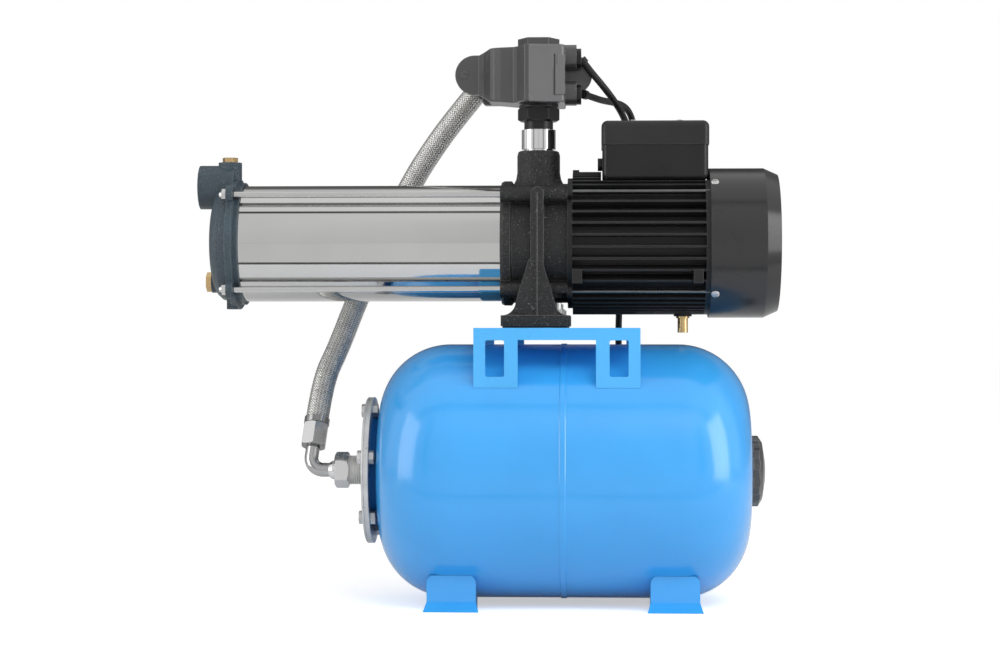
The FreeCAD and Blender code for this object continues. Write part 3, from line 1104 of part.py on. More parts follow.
socket_hex = hexagon("socket_flats", "socket_top - control_top + 3",
                     ("-nozzle_along", 0, "control_top - 3"))
port_boss = cylinder("elbow_port_radius + 4", "control_back - cover_depth - 14",
                     ("-elbow_port_along", 14, "elbow_port_height"), "Y")
control_solid = fused(shape, *ear_plate, *ear_bars, *gland_blocks, socket_hex, latch, port_boss)
flow_low = cylinder("seat_bore", "seat_height - control_base + 2", ("-nozzle_along", 0, "control_base - 1"))
flow_high = cylinder("flow_bore", "socket_top - socket_depth - seat_height + 1",
                     ("-nozzle_along", 0, "seat_height"))
socket_hole = cylinder("socket_bore", "socket_depth", ("-nozzle_along", 0, "socket_top - socket_depth"))
board_space = between(("-control_left + 6", "20", "control_base + 9"),
                      ("control_right - 6", "control_back", "control_top - 5"))
board_space = cut(board_space,
                  cylinder("flow_bore + 4", "control_top - control_base",
                           ("-nozzle_along", 0, "control_base")), port_boss)
port_start = "cover_depth + 6"
port_space = cylinder("elbow_port_radius", "control_back",
                      ("-elbow_port_along", port_start, "elbow_port_height"), "Y")
port_passage = cylinder("port_passage", "%s + 1" % port_start,
                        ("-elbow_port_along", 0, "elbow_port_height"), "Y")
cross_passage = cylinder("cross_passage", "elbow_port_along - nozzle_along",
                         ("-elbow_port_along", 4, "cross_height"), "X")
guide = between(("-nozzle_along - flow_bore - 1", -3, "guide_base"),
                ("flow_bore + 1 - nozzle_along", 3, "guide_base + guide_thickness"))
guide_hole = cylinder("check_stem + guide_play", "guide_thickness + 2",
                      ("-nozzle_along", 0, "guide_base - 1"))
control_hollow = cut(control_solid, latch_gap, latch_step)
for space in (board_space, port_space, flow_low, flow_high, socket_hole, port_passage, cross_passage):
    control_hollow = cut(control_hollow, space)
node("controller_body", cut(fused(control_hollow, guide), guide_hole))
back_cover = rounded(between(("-control_left + 2", cover_front, "control_base + 5"),
                             ("control_right - 2", "control_back", "control_top - 1")), "box_corner - 2",
                             along("y"))
cover_hollow = between(("-control_left + 6", "%s - 1" % cover_front, "control_base + 9"),
                       ("control_right - 6", "control_back - 3", "control_top - 5"))
button_x = "control_right - 30"
button_hole = cylinder("button_radius + button_play", 10, (button_x, "control_back - 5", "ear_height"), "Y")
port_hole = cylinder("elbow_port_radius", "cover_depth + 2",
                     ("-elbow_port_along", "%s - 1" % cover_front, "elbow_port_height"), "Y")
board_y = "%s + 3" % cover_front
board_left = "%s - board_width / 2 - 4" % button_x
post_height = "control_back - 3 - (%s) - board_thickness" % board_y
posts = [cylinder(2.5, post_height,
                  (x, "%s + board_thickness" % board_y, "ear_height - board_height / 2 + 4"), "Y")
         for x in ("%s + 4" % board_left, "%s + board_width - 4" % board_left)]
node("controller_cover", fused(cut(back_cover, cover_hollow, button_hole, port_hole), *posts))
board_switch = cylinder("button_radius / 2", "button_height / 2",
                        (button_x, "%s + board_thickness" % board_y, "ear_height"), "Y")
node("controller_board", fused(block(("board_width", "board_thickness", "board_height"),
                                     (board_left, board_y, "ear_height - board_height / 2")), board_switch))
button_start = "control_back - 4.4"
node("reset_button", fused(
    cylinder("button_radius", "button_travel + 4.4", (0, button_start, 0), "Y"),
    cylinder("button_radius + 2", 1.2, (0, button_start, 0), "Y")), (button_x, 0, "ear_height"))
check_base = "seat_height + 0.05"
node("check_valve", turned([
    (check_base, 0), (check_base, "check_radius"), ("%s + check_thickness" % check_base, "check_radius"),
    ("%s + check_thickness" % check_base, "check_stem"),
    ("%s + check_stem_length" % check_base, "check_stem"),
    ("%s + check_stem_length" % check_base, 0),
], ("-nozzle_along", 0, 0), upright=True))

# Spring between the check valve and a bridge in the flow passage
helix = Part.makeHelix(worth("spring_height") / worth("spring_turns"), worth("spring_height"),
                       worth("spring_radius"))
start = Vector(worth("spring_radius"), 0, 0)
wire_section = Part.Wire(Part.makeCircle(worth("spring_wire"), start, Vector(0, 1, 0)))
spring = doc.addObject("Part::Feature", "spring")
spring.Shape = Part.Wire(helix).makePipeShell([wire_section], True, True)
spring_base = "%s + check_thickness + spring_wire + 0.1" % check_base
node("valve_spring", spring, ("-nozzle_along", 0, spring_base))

# Cords: straight runs joined by tangent arcs
ARC_SHARE = 0.45
HOSE_ROUTE = [
    (-104, 94, 574), (-124, 94, 550), (-149, 93.5, 517), (-178, 92.5, 472), (-210, 89, 404),
    (-239.5, 79.5, 337),
    (-259, 62, 281), (-274.1, 42.5, 245.5), (-278.4, 24, 202.2),
]
MOTOR_LEAD_ROUTE = [
    (22.5, 4.8, 598), (31, 6.8, 587), (41, 12, 576), (52, 22, 563), (61.5, 36, 550.5), (68, 53, 539),
    (72.5, 72, 528.5),
    (80, 90, 518), (91.5, 103, 509), (105, 110, 501), (119, 111, 494.5), (132, 105, 489.5),
    (140.5, 94.5, 486.5),
    (143.5, 80.5, 485), (143.5, 66, 485),
]
MAINS_ROUTE = [
    (24, 7.5, 563.3), (33.5, 27, 562), (42, 47, 561.2), (53.5, 67, 561.2), (64.5, 84.5, 560.5),
    (72.5, 96.5, 554.5),
    (77.5, 104, 543), (80, 108.5, 524), (79, 110, 495), (75.5, 109.5, 455), (70, 108, 410), (65, 107, 370),
    (62, 107.5, 337), (61, 111.5, 307), (61, 120.5, 277), (61.5, 131.5, 240), (62.5, 142.5, 200),
    (63.5, 149.5, 160),
    (64, 151.5, 120), (64, 151.5, 90), (63.5, 153, 68), (62.2, 157.5, 49), (60, 165.5, 33),
    (57.7, 176, 20.8),
    (55.4, 187.5, 14), (54, 199, 12), (54, 210, 12),
]


def path_of(route, name, diameter):
    """A wire of runs and arcs through a route, each arc as large as its two runs allow."""
    points = [Vector(*point) for point in route]
    edges = []
    last = points[0]
    tightest = None
    for before, point, after in zip(points, points[1:], points[2:]):
        coming = (point - before).normalize()
        going = (after - point).normalize()
        turn = coming.getAngle(going)
        reach = ARC_SHARE * min((point - before).Length, (after - point).Length)
        radius = reach / math.tan(turn / 2)
        tightest = radius if tightest is None else min(tightest, radius)
        first = point - coming * reach
        end = point + going * reach
        inward = (going - coming).normalize()
        middle = point + inward * (radius / math.cos(turn / 2) - radius)
        edges.append(Part.LineSegment(last, first).toShape())
        edges.append(Part.Arc(first, middle, end).toShape())
        last = end
    edges.append(Part.LineSegment(last, points[-1]).toShape())
    wire = Part.Wire(edges)
    print("%s: length %.0f mm, tightest arc %.1f mm, %.1f diameters" % (name, wire.Length, tightest,
                                                                        tightest / diameter))
    return wire


def cord(name, route, diameter):
    path = path_of(route, name, worth(diameter))
    start = Vector(*route[0])
    heading = Vector(*route[1]) - start
    section = Part.Wire(Part.makeCircle(worth(diameter) / 2, start, heading))
    tube = doc.addObject("Part::Feature", name)
    tube.Shape = path.makePipeShell([section], True, False)
    expected = math.pi * worth(diameter) ** 2 / 4 * path.Length
    print("%s: volume %.4f of section times length" % (name, tube.Shape.Volume / expected))
    return node(name, tube, (0, 0, 0))


cord("braided_hose", HOSE_ROUTE, "hose_diameter")
cord("motor_lead", MOTOR_LEAD_ROUTE, "lead_diameter")
cord("mains_lead", MAINS_ROUTE, "lead_diameter")


def facing(route, last):
    """The end point of a route and the rotation that aims Z out of that end."""
    tip, inner = (route[-1], route[-2]) if last else (route[0], route[1])
    away = (Vector(*tip) - Vector(*inner)).normalize()
    return Vector(*tip), Rotation(Vector(0, 0, 1), away)


def fitting(tip, rotation, pieces):
    """Bars laid end to end from a tip: each has the bar and the distance of its start from the tip."""
    for thing, start in pieces:
        thing.Placement = FreeCAD.Placement(tip + rotation.multVec(Vector(0, 0, worth(start))), rotation)
    things = [thing for thing, start in pieces]
    return things[0] if len(things) == 1 else fused(*things)


# Hose ends: crimped ferrule and a hexagon nut, at both ends of the hose
hose_ends = []
nut_ends = []
for last, nut_length in ((False, "upper_nut_length"), (True, "hose_nut_length")):
    tip, rotation = facing(HOSE_ROUTE, last)
    nut_ends.append(tip + rotation.multVec(Vector(0, 0, worth("ferrule_length + %s + 0.1" % nut_length))))
    hose_ends.append(fitting(tip, rotation, [
        (round_bar("ferrule_radius", "ferrule_length"), "0"),
        (nut_bar("hose_nut_flats", nut_length), "ferrule_length"),
    ]))
node("hose_ends", group(*hose_ends))


def bent_tube(points, radius, bend):
    """A round bar along two runs with one arc between them."""
    first, corner, end = [Vector(*point) for point in points]
    coming = (corner - first).normalize()
    going = (end - corner).normalize()
    turn = coming.getAngle(going)
    reach = bend * math.tan(turn / 2)
    start_arc = corner - coming * reach
    end_arc = corner + going * reach
    middle = corner + (going - coming).normalize() * (bend / math.cos(turn / 2) - bend)
    wire = Part.Wire([Part.LineSegment(first, start_arc).toShape(),
                      Part.Arc(start_arc, middle, end_arc).toShape(),
                      Part.LineSegment(end_arc, end).toShape()])
    tube = doc.addObject("Part::Feature", "bent_tube")
    tube.Shape = wire.makePipeShell([Part.Wire(Part.makeCircle(radius, first, coming))], True, False)
    return tube


# Elbow between the tank's nipple and the hose, with its union nut
nut_seat = "-(flange_face + nipple_length)"
elbow_corner = (-worth("elbow_along"), 0, worth("tank_axis_height"))
collar_left = "%s - elbow_collar_length" % nut_seat
union_left = "%s - elbow_nut_length + elbow_nut_overlap" % nut_seat
elbow_start = (worth("%s - 5" % union_left), 0, worth("tank_axis_height"))
elbow_tube = bent_tube([elbow_start, elbow_corner, tuple(nut_ends[1])], worth("elbow_radius"),
                       worth("elbow_bend"))
elbow_root = turned([
    (nut_seat, 0), (nut_seat, "elbow_collar"), (collar_left, "elbow_collar"), (collar_left, "elbow_neck"),
    ("%s - 3" % union_left, "elbow_neck"), ("%s - 7" % union_left, "elbow_radius"),
    ("%s - 7" % union_left, 0),
], TANK)
elbow_nut = place(nut_bar("elbow_nut_flats", "elbow_nut_length"), (union_left, 0, "tank_axis_height"), "X")
nut_hollow = cylinder("nipple_radius + plug_play", "elbow_nut_length", (collar_left, 0, "tank_axis_height"),
                      "X")
nut_neck = cylinder("elbow_neck + 0.3", "elbow_nut_length", ("%s - 1" % union_left, 0, "tank_axis_height"),
                    "X")
node("tank_elbow", group(fused(elbow_root, elbow_tube), cut(elbow_nut, nut_hollow, nut_neck)))

# Elbow from the controller's back to the hose
port = (-worth("elbow_port_along"), worth(port_start), worth("elbow_port_height"))
port_corner = (port[0], HOSE_ROUTE[0][1], port[2])
port_tube = bent_tube([port, port_corner, tuple(nut_ends[0])], worth("elbow_radius"),
                      worth("elbow_radius + 1.5"))
port_hex = hexagon("hose_nut_flats", 9, ("-elbow_port_along", "control_back", "elbow_port_height"), "Y")
port_thread = cylinder("elbow_port_radius - plug_play", "control_back - (%s)" % port_start,
                       ("-elbow_port_along", port_start, "elbow_port_height"), "Y")
node("controller_elbow", fused(port_tube, port_hex, port_thread))


def nose(route):
    """The rubber nose of a gland, aimed along the lead that leaves it."""
    tip, rotation = facing(route, False)
    return fitting(tip, rotation, [(round_bar("lead_diameter / 2 + 1.4", "gland_nose"), "0")])


# Glands where the leads leave the controller and enter the terminal box, and the blank plug in its side
gland_upper = fused(nose(MOTOR_LEAD_ROUTE),
                    cylinder("gland_ring", "gland_ring_length",
                             ("gland_block", "gland_depth", "upper_gland_height - 1.5"), "X"))
gland_lower = fused(nose(MAINS_ROUTE),
                    cylinder("gland_ring", "gland_ring_length",
                             ("gland_block", "gland_depth", "lower_gland_height - 1.5"), "X"))
gland_box = fused(cylinder("gland_radius", "gland_length", lead_gland, "Y"),
                  cone("gland_radius - 1", "lead_diameter / 2 + 1", "relief_length",
                       (lead_gland[0], "%s + gland_length" % lead_gland[1], lead_gland[2]), "Y"))
side_plug = cylinder("side_plug_radius", "side_plug_reach",
                     ("box_left", "-box_half_depth / 3", "box_split - side_plug_drop"), "-X")
node("cable_glands", group(gland_upper, gland_lower, gland_box, side_plug))

# The rest of the mains lead, wound up on the floor behind the tank, and its plug
coil_ring = cut(cylinder("coil_radius + coil_section / 2", "coil_section", ("coil_along", "coil_depth", 0)),
                cylinder("coil_radius - coil_section / 2", "coil_section * 2",
                         ("coil_along", "coil_depth", "-coil_section / 2")))
end_of_lead = MAINS_ROUTE[-1]
coil_entry = cylinder("lead_diameter / 2", "coil_depth - %g" % end_of_lead[1], end_of_lead, "Y")
coil_leave = cylinder("lead_diameter / 2", "coil_depth - plug_tip_depth",
                      ("coil_along - coil_radius", "plug_tip_depth", "coil_exit"), "Y")
node("mains_coil", fused(coil_ring, coil_entry, coil_leave))
plug_at = ("coil_along - coil_radius", "plug_tip_depth", "plug_radius")
prongs = [cylinder("prong_radius", "prong_length + 1", (
    "coil_along - coil_radius + %d * prong_spacing / 2" % side,
    "plug_tip_depth - plug_neck_length - plug_length + 1",
    "plug_radius"), "-Y") for side in (-1, 1)]
node("mains_plug", fused(
    cone("plug_neck_radius", "plug_radius - 3", "plug_neck_length", plug_at, "-Y"),
    cylinder("plug_radius", "plug_length", (plug_at[0], "plug_tip_depth - plug_neck_length", "plug_radius"),
             "-Y"), *prongs))

doc.recompute()
print(len(NODES), "nodes")
faults = [thing.Label for thing in doc.Objects if "Invalid" in thing.State or "Error" in thing.State]
bad = [thing.Label for thing in NODES if thing.Shape.isNull() or not thing.Shape.isValid()]
print("faults", faults, "bad", bad)
if faults or bad:
    raise SystemExit("some pieces did not build: %s %s" % (faults, bad))
os.makedirs("parts", exist_ok=True)
for thing in NODES:
    thing.Shape.exportStep("parts/%s.step" % thing.Label)
    print(thing.Label, len(thing.Shape.Solids), round(thing.Shape.Volume))
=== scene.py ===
"""Booster pump station: looks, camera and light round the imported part."""

import json
import math

import bpy
import bmesh
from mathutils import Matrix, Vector


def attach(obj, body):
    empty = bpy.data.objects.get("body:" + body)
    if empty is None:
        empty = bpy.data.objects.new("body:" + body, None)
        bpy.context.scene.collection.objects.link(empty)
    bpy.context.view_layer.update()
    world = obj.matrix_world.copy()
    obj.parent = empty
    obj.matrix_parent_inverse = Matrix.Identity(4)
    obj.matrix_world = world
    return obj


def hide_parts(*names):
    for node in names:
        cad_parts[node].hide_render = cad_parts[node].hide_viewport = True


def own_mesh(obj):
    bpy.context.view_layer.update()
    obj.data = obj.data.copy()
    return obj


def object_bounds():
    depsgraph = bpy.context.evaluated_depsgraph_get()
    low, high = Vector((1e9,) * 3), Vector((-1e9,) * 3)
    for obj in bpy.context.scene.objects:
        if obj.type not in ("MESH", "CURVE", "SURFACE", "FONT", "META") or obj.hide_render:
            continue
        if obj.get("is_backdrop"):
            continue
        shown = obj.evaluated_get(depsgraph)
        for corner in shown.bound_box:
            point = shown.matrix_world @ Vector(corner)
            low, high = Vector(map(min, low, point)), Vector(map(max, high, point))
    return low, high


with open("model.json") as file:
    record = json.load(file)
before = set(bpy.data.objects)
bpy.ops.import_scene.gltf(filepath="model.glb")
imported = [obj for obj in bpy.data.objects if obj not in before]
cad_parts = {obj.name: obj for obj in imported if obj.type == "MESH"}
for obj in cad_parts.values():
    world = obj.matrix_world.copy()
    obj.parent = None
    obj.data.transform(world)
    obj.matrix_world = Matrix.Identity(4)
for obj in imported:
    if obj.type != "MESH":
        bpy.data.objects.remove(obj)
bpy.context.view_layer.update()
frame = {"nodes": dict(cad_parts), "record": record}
nodes = frame["nodes"]
MM = 0.001

# Camera at the photograph's angle
CAMERA_PLACE = (0.0394, -2.5, 0.298)
CAMERA_YAW = 2.54
LENS = 81.07
SENSOR_WIDTH = 36
FARTHEST_SEEN = 60

camera_data = bpy.data.cameras.new("camera")
camera_data.lens = LENS
camera_data.sensor_width = SENSOR_WIDTH
camera_data.clip_end = FARTHEST_SEEN
camera = bpy.data.objects.new("camera", camera_data)
camera.location = CAMERA_PLACE
camera.rotation_euler = (math.radians(90), 0, math.radians(CAMERA_YAW))
bpy.context.scene.collection.objects.link(camera)
bpy.context.scene.camera = camera
bpy.context.scene.view_settings.view_transform = "Standard"


# Materials
def connect(tree, source, target):
    tree.links.new(source, target)


def add(tree, kind, **settings):
    made = tree.nodes.new(kind)
    for name, value in settings.items():
        setattr(made, name, value)
    return made


def noise(tree, coordinates, scale, detail=3.0):
    made = add(tree, "ShaderNodeTexNoise")
    made.inputs["Scale"].default_value = scale
    made.inputs["Detail"].default_value = detail
    connect(tree, coordinates, made.inputs["Vector"])
    return made.outputs["Fac"]


def ranged(tree, value, low, high, start=0.3, end=0.7):
    made = add(tree, "ShaderNodeMapRange")
    made.inputs["From Min"].default_value = start
    made.inputs["From Max"].default_value = end
    made.inputs["To Min"].default_value = low
    made.inputs["To Max"].default_value = high
    connect(tree, value, made.inputs["Value"])
    return made.outputs["Result"]


def mixed(tree, factor, first, second):
    """A colour between a first one, or the colour of a socket, and a second one."""
    made = add(tree, "ShaderNodeMix", data_type="RGBA")
    if isinstance(first, tuple):
        made.inputs["A"].default_value = (*first, 1)
    else:
        connect(tree, first, made.inputs["A"])
    made.inputs["B"].default_value = (*second, 1)
    connect(tree, factor, made.inputs["Factor"])
    return made.outputs["Result"]


EDGE_SAMPLES = 4


def softened(tree, radius):
    """The normal of a surface whose edges are rounded by a radius."""
    made = add(tree, "ShaderNodeBevel", samples=EDGE_SAMPLES)
    made.inputs["Radius"].default_value = radius
    return made.outputs["Normal"]


def linear(level):
    """A display level from 0 to 255 as linear light."""
    share = level / 255
    return share / 12.92 if level <= 10 else ((share + 0.055) / 1.055) ** 2.4


def srgb(red, green, blue):
    return linear(red), linear(green), linear(blue)


EDGE_HIGHLIGHT_RADIUS = 0.0012
# How far two normals agree where an edge starts and stops getting its painted highlight
EDGE_HIGHLIGHT_FROM = 0.86
EDGE_HIGHLIGHT_TO = 0.99
GLINT_SPECK_BLUR = 0.1


def finish(name, colour, rough, metal=0.0, spread=0.08, patch=14.0, grain=900.0, relief=0.00002,
           stretch=(1, 1, 1), rough_spread=0.06, specular=0.5, coat=0.0, coat_rough=0.1, edge=0.0005,
           glint_speckle=None, glint_speckle_scale=1100.0, glint_speckle_start=0.62, edge_highlight=0.0, edge_highlight_colour=None):
    """A procedural finish: broad colour variation, uneven gloss, fine relief, painted glint specks, painted
    edge highlights and softened edges.
    """
    made = bpy.data.materials.new(name)
    made.use_nodes = True
    tree = made.node_tree
    shader = tree.nodes["Principled BSDF"]
    place = add(tree, "ShaderNodeTexCoord").outputs["Object"]
    patches = noise(tree, place, patch)
    dark = tuple(c * (1 - spread) for c in colour)
    light = tuple(min(1.0, c * (1 + spread)) for c in colour)
    tone = mixed(tree, ranged(tree, patches, 0, 1), dark, light)
    # Light specks painted over the tone: painted glints, as a rough casting's sparkle
    if glint_speckle:
        glint_flecks = noise(tree, place, glint_speckle_scale, 1.0)
        tone = mixed(tree, ranged(tree, glint_flecks, 0, 1, glint_speckle_start, glint_speckle_start + GLINT_SPECK_BLUR), tone,
                     glint_speckle)
    # Edges get a lighter colour where the bevelled normal turns away: painted highlights along edges
    if edge_highlight:
        agreement = add(tree, "ShaderNodeVectorMath", operation="DOT_PRODUCT")
        connect(tree, softened(tree, EDGE_HIGHLIGHT_RADIUS), agreement.inputs[0])
        connect(tree, add(tree, "ShaderNodeNewGeometry").outputs["Normal"], agreement.inputs[1])
        edge_highlight_share = ranged(tree, agreement.outputs["Value"], edge_highlight, 0, EDGE_HIGHLIGHT_FROM, EDGE_HIGHLIGHT_TO)
        tone = mixed(tree, edge_highlight_share, tone, edge_highlight_colour)
    connect(tree, tone, shader.inputs["Base Color"])
    gloss = ranged(tree, patches, rough - rough_spread, rough + rough_spread)
    connect(tree, gloss, shader.inputs["Roughness"])
    shader.inputs["Metallic"].default_value = metal
    shader.inputs["Specular IOR Level"].default_value = specular
    shader.inputs["Coat Weight"].default_value = coat
    shader.inputs["Coat Roughness"].default_value = coat_rough
    stretched = add(tree, "ShaderNodeMapping")
    stretched.inputs["Scale"].default_value = stretch
    connect(tree, place, stretched.inputs["Vector"])
    bump = add(tree, "ShaderNodeBump")
    bump.inputs["Strength"].default_value = 1.0
    bump.inputs["Distance"].default_value = relief
    connect(tree, noise(tree, stretched.outputs["Vector"], grain), bump.inputs["Height"])
    connect(tree, softened(tree, edge), bump.inputs["Normal"])
    connect(tree, bump.outputs["Normal"], shader.inputs["Normal"])
    return made


finishes = {
    "tank_blue": finish("tank_paint", srgb(54, 156, 227), 0.22, spread=0.03, grain=240, relief=0.00002,
                        coat=0.5, coat_rough=0.12, edge=0.001, rough_spread=0.03),
    "bracket_blue": finish("bracket_paint", srgb(72, 170, 233), 0.3, spread=0.03, grain=500,
                           relief=0.00002, coat=0.2, edge=0.0008),
    "zinc": finish("zinc", srgb(204, 204, 203), 0.36, metal=0.72, spread=0.12, patch=60, grain=420,
                   relief=0.00005, rough_spread=0.1, edge=0.0009),
    "stainless": finish("stainless", srgb(200, 200, 199), 0.055, metal=1.0, spread=0.04, patch=9,
                        grain=500, relief=0.000004, stretch=(3, 0.2, 0.2), rough_spread=0.02,
                        edge=0.0003),
    # The cast finishes carry light specks as painted glints and lighter edges as painted highlights
    "cast_black": finish("cast_black", srgb(22, 22, 22), 0.34, spread=0.25, patch=30, grain=520,
                         relief=0.0016, glint_speckle=srgb(104, 104, 102), glint_speckle_scale=620,
                         glint_speckle_start=0.66, edge=0.0012, specular=0.45, edge_highlight=0.7,
                         edge_highlight_colour=srgb(112, 112, 110)),
    "cast_grey": finish("cast_grey", srgb(48, 63, 72), 0.34, spread=0.16, patch=25, grain=560,
                        relief=0.0013, glint_speckle=srgb(92, 108, 116), glint_speckle_scale=620,
                        glint_speckle_start=0.64, edge=0.0012, edge_highlight=0.6, edge_highlight_colour=srgb(120, 134, 142)),
    "brass": finish("brass", srgb(208, 178, 128), 0.26, metal=1.0, spread=0.08, patch=60,
                    relief=0.000008),
    "chrome": finish("chrome", srgb(215, 215, 216), 0.05, metal=1.0, spread=0.03, relief=0.000002,
                     rough_spread=0.02),
    "motor_black": finish("motor_paint", srgb(27, 27, 28), 0.42, spread=0.2, patch=20, grain=500,
                          relief=0.0002, specular=0.3, edge=0.0006, edge_highlight=0.45,
                          edge_highlight_colour=srgb(88, 88, 88)),
    "black_plastic": finish("black_plastic", srgb(24, 24, 25), 0.3, spread=0.12, patch=22, grain=900,
                            relief=0.00006, specular=0.32, edge=0.001, edge_highlight=0.4,
                            edge_highlight_colour=srgb(108, 108, 109)),
    "grey_plastic": finish("grey_plastic", srgb(59, 59, 60), 0.24, specular=0.8, spread=0.04, patch=12,
                           grain=900, relief=0.00004, rough_spread=0.03, edge=0.0012, edge_highlight=0.4,
                           edge_highlight_colour=srgb(146, 146, 147)),
    "hood_grey": finish("hood_paint", srgb(33, 33, 34), 0.2, spread=0.08, patch=20, grain=800,
                        relief=0.00003, edge=0.001, specular=0.55, rough_spread=0.03),
    "rubber": finish("rubber", srgb(24, 24, 25), 0.5, spread=0.15, patch=30, grain=900, relief=0.00006,
                     specular=0.35, rough_spread=0.08),
    "braid": finish("braid_wire", srgb(226, 225, 222), 0.28, metal=1.0, spread=0.06, patch=60,
                    grain=1200, relief=0.000008, edge=0.0002),
    "core_steel": finish("core_steel", srgb(120, 122, 124), 0.4, metal=0.9, spread=0.12, patch=40,
                         grain=1800, relief=0.00003, stretch=(14, 1, 1)),
    "copper": finish("copper", srgb(176, 98, 52), 0.32, metal=0.9, spread=0.15, patch=60, grain=900,
                     relief=0.0001, stretch=(8, 1, 1)),
    "board_green": finish("board_green", srgb(24, 92, 52), 0.4, spread=0.15, patch=120, relief=0.00003),
    "capacitor_white": finish("capacitor_white", srgb(228, 228, 224), 0.35, spread=0.04,
                              relief=0.00001),
    "dark_zinc": finish("dark_zinc", srgb(70, 76, 82), 0.35, metal=0.9, spread=0.15, patch=60,
                        relief=0.00003),
    "lid_plastic": finish("lid_plastic", srgb(34, 34, 35), 0.36, spread=0.1, patch=22, grain=900,
                          relief=0.00006, specular=0.3, edge=0.0012, edge_highlight=0.4,
                          edge_highlight_colour=srgb(116, 116, 117)),
    # Tank blue darkened for the neck beside the flange: painted shade of the flange
    "neck_painted_shade_blue": finish("neck_painted_shade_paint", srgb(8, 84, 150), 0.5, spread=0.08, patch=20, grain=500,
                        relief=0.00003, specular=0.15, edge=0.0008),
    # A lighter copy of grey_plastic: painted light on the controller's front-facing panel
    "lit_panel_grey": finish("lit_panel_plastic", srgb(92, 92, 93), 0.26, specular=0.8, spread=0.04, patch=12,
                         grain=900, relief=0.00004, rough_spread=0.03, edge=0.0012, edge_highlight=0.4,
                         edge_highlight_colour=srgb(146, 146, 147)),
    # A darker copy of the braid wire: painted shade for the bundles where they dip under
    "braid_painted_shade": finish("braid_painted_shade_wire", srgb(128, 128, 126), 0.34, metal=1.0, spread=0.1, patch=60,
                        grain=1200, relief=0.000008, edge=0.0002),
    "nut_steel": finish("nut_steel", srgb(142, 142, 142), 0.24, metal=1.0, spread=0.08, patch=60,
                        relief=0.000008, edge=0.0008),
    "elbow_chrome": finish("elbow_chrome", srgb(176, 176, 177), 0.12, metal=1.0, spread=0.04, patch=60,
                           relief=0.000004),
    "screw_grey": finish("screw_grey", srgb(112, 113, 114), 0.3, metal=0.9, spread=0.1, patch=60,
                         relief=0.00003),
}

SMOOTH_ANGLE = math.radians(28)


def shade(thing):
    """Smooth shading that keeps the edges sharper than the smooth angle."""
    for face in thing.data.polygons:
        face.use_smooth = True
    thing.data.set_sharp_from_angle(angle=SMOOTH_ANGLE)


slot_of = {}
for subpart in frame["record"]["subparts"]:
    slot_of[subpart["node"]] = subpart["material_slot"]
for name, thing in nodes.items():
    thing.data.materials.clear()
    thing.data.materials.append(finishes[slot_of[name]])


def repaint(name, finish_name, low, high):
    """Gives the faces of a CAD node that lie in a box, in millimetres, a second finish."""
    mesh = nodes[name].data
    mesh.materials.append(finishes[finish_name])
    index = len(mesh.materials) - 1
    for face in mesh.polygons:
        if all(a <= value / MM <= b for a, value, b in zip(low, face.center, high)):
            face.material_index = index


# Each repainted node with its second finish and the corners of the box that gets it
REPAINTED = [
    ("cover_screws", "grey_plastic", (-120, 0, 570), (-100, 40, 600)),
    # The tank's neck beside the flange gets the darker blue, a painted shade
    ("tank_shell", "neck_painted_shade_blue", (-300, -70, 50), (-203.5, 70, 300)),
    # The controller's front-facing faces get the lighter copy, a painted highlight
    ("controller_body", "lit_panel_grey", (-39, -60, 500), (60, -44, 640)),
    ("hose_ends", "nut_steel", (-400, -200, 0), (0, 200, 700)),
    ("tank_elbow", "elbow_chrome", (-400, -100, 0), (-262, 100, 300)),
    ("foot_bolts", "dark_zinc", (-40, -80, 290), (20, 80, 301.6)),
    ("terminal_box_lid", "lid_plastic", (0, -100, 0), (400, 100, 1000)),
    ("motor_screws", "screw_grey", (0, -100, 0), (400, 100, 1000)),
]
for name, finish_name, low, high in REPAINTED:
    repaint(name, finish_name, low, high)


# Pieces made here
def linked(name, data, *materials):
    thing = bpy.data.objects.new(name, data)
    bpy.context.scene.collection.objects.link(thing)
    for material in materials:
        data.materials.append(finishes[material])
    return thing


def carried(thing, slot, *replaced):
    """A piece that rides on the station in place of one or more CAD nodes."""
    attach(thing, "station")
    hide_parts(*replaced)


# The check valve's spring, copied from its CAD node at one length; the real spring shortens as the valve
# lifts
spring_mesh = nodes["valve_spring"].data.copy()
spring_mesh.materials.clear()
spring = linked("valve_spring_coil", spring_mesh, "stainless")
carried(spring, "stainless", "valve_spring")
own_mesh(spring)


STEPS_ALONG = 12
STEPS_ROUND = 5


def route_curve(name, route, radius, material):
    """A smooth tube along a route of control points given in millimetres."""
    data = bpy.data.curves.new(name, "CURVE")
    data.dimensions = "3D"
    data.resolution_u = STEPS_ALONG
    data.bevel_depth = radius
    data.bevel_resolution = STEPS_ROUND
    data.use_fill_caps = True
    spline = data.splines.new("NURBS")
    spline.points.add(len(route) - 1)
    for point, place in zip(spline.points, route):
        point.co = (*[value * MM for value in place], 1)
    spline.use_endpoint_u = True
    spline.order_u = 3
    return linked(name, data, material)


def centreline(curve):
    """Points along a curve's own line."""
    bare = curve.copy()
    bare.data = curve.data.copy()
    bare.data.bevel_depth = 0
    bare.data.use_fill_caps = False
    mesh = bpy.data.meshes.new_from_object(bare)
    points = [vertex.co.copy() for vertex in mesh.vertices]
    bpy.data.objects.remove(bare)
    bpy.data.meshes.remove(mesh)
    return points


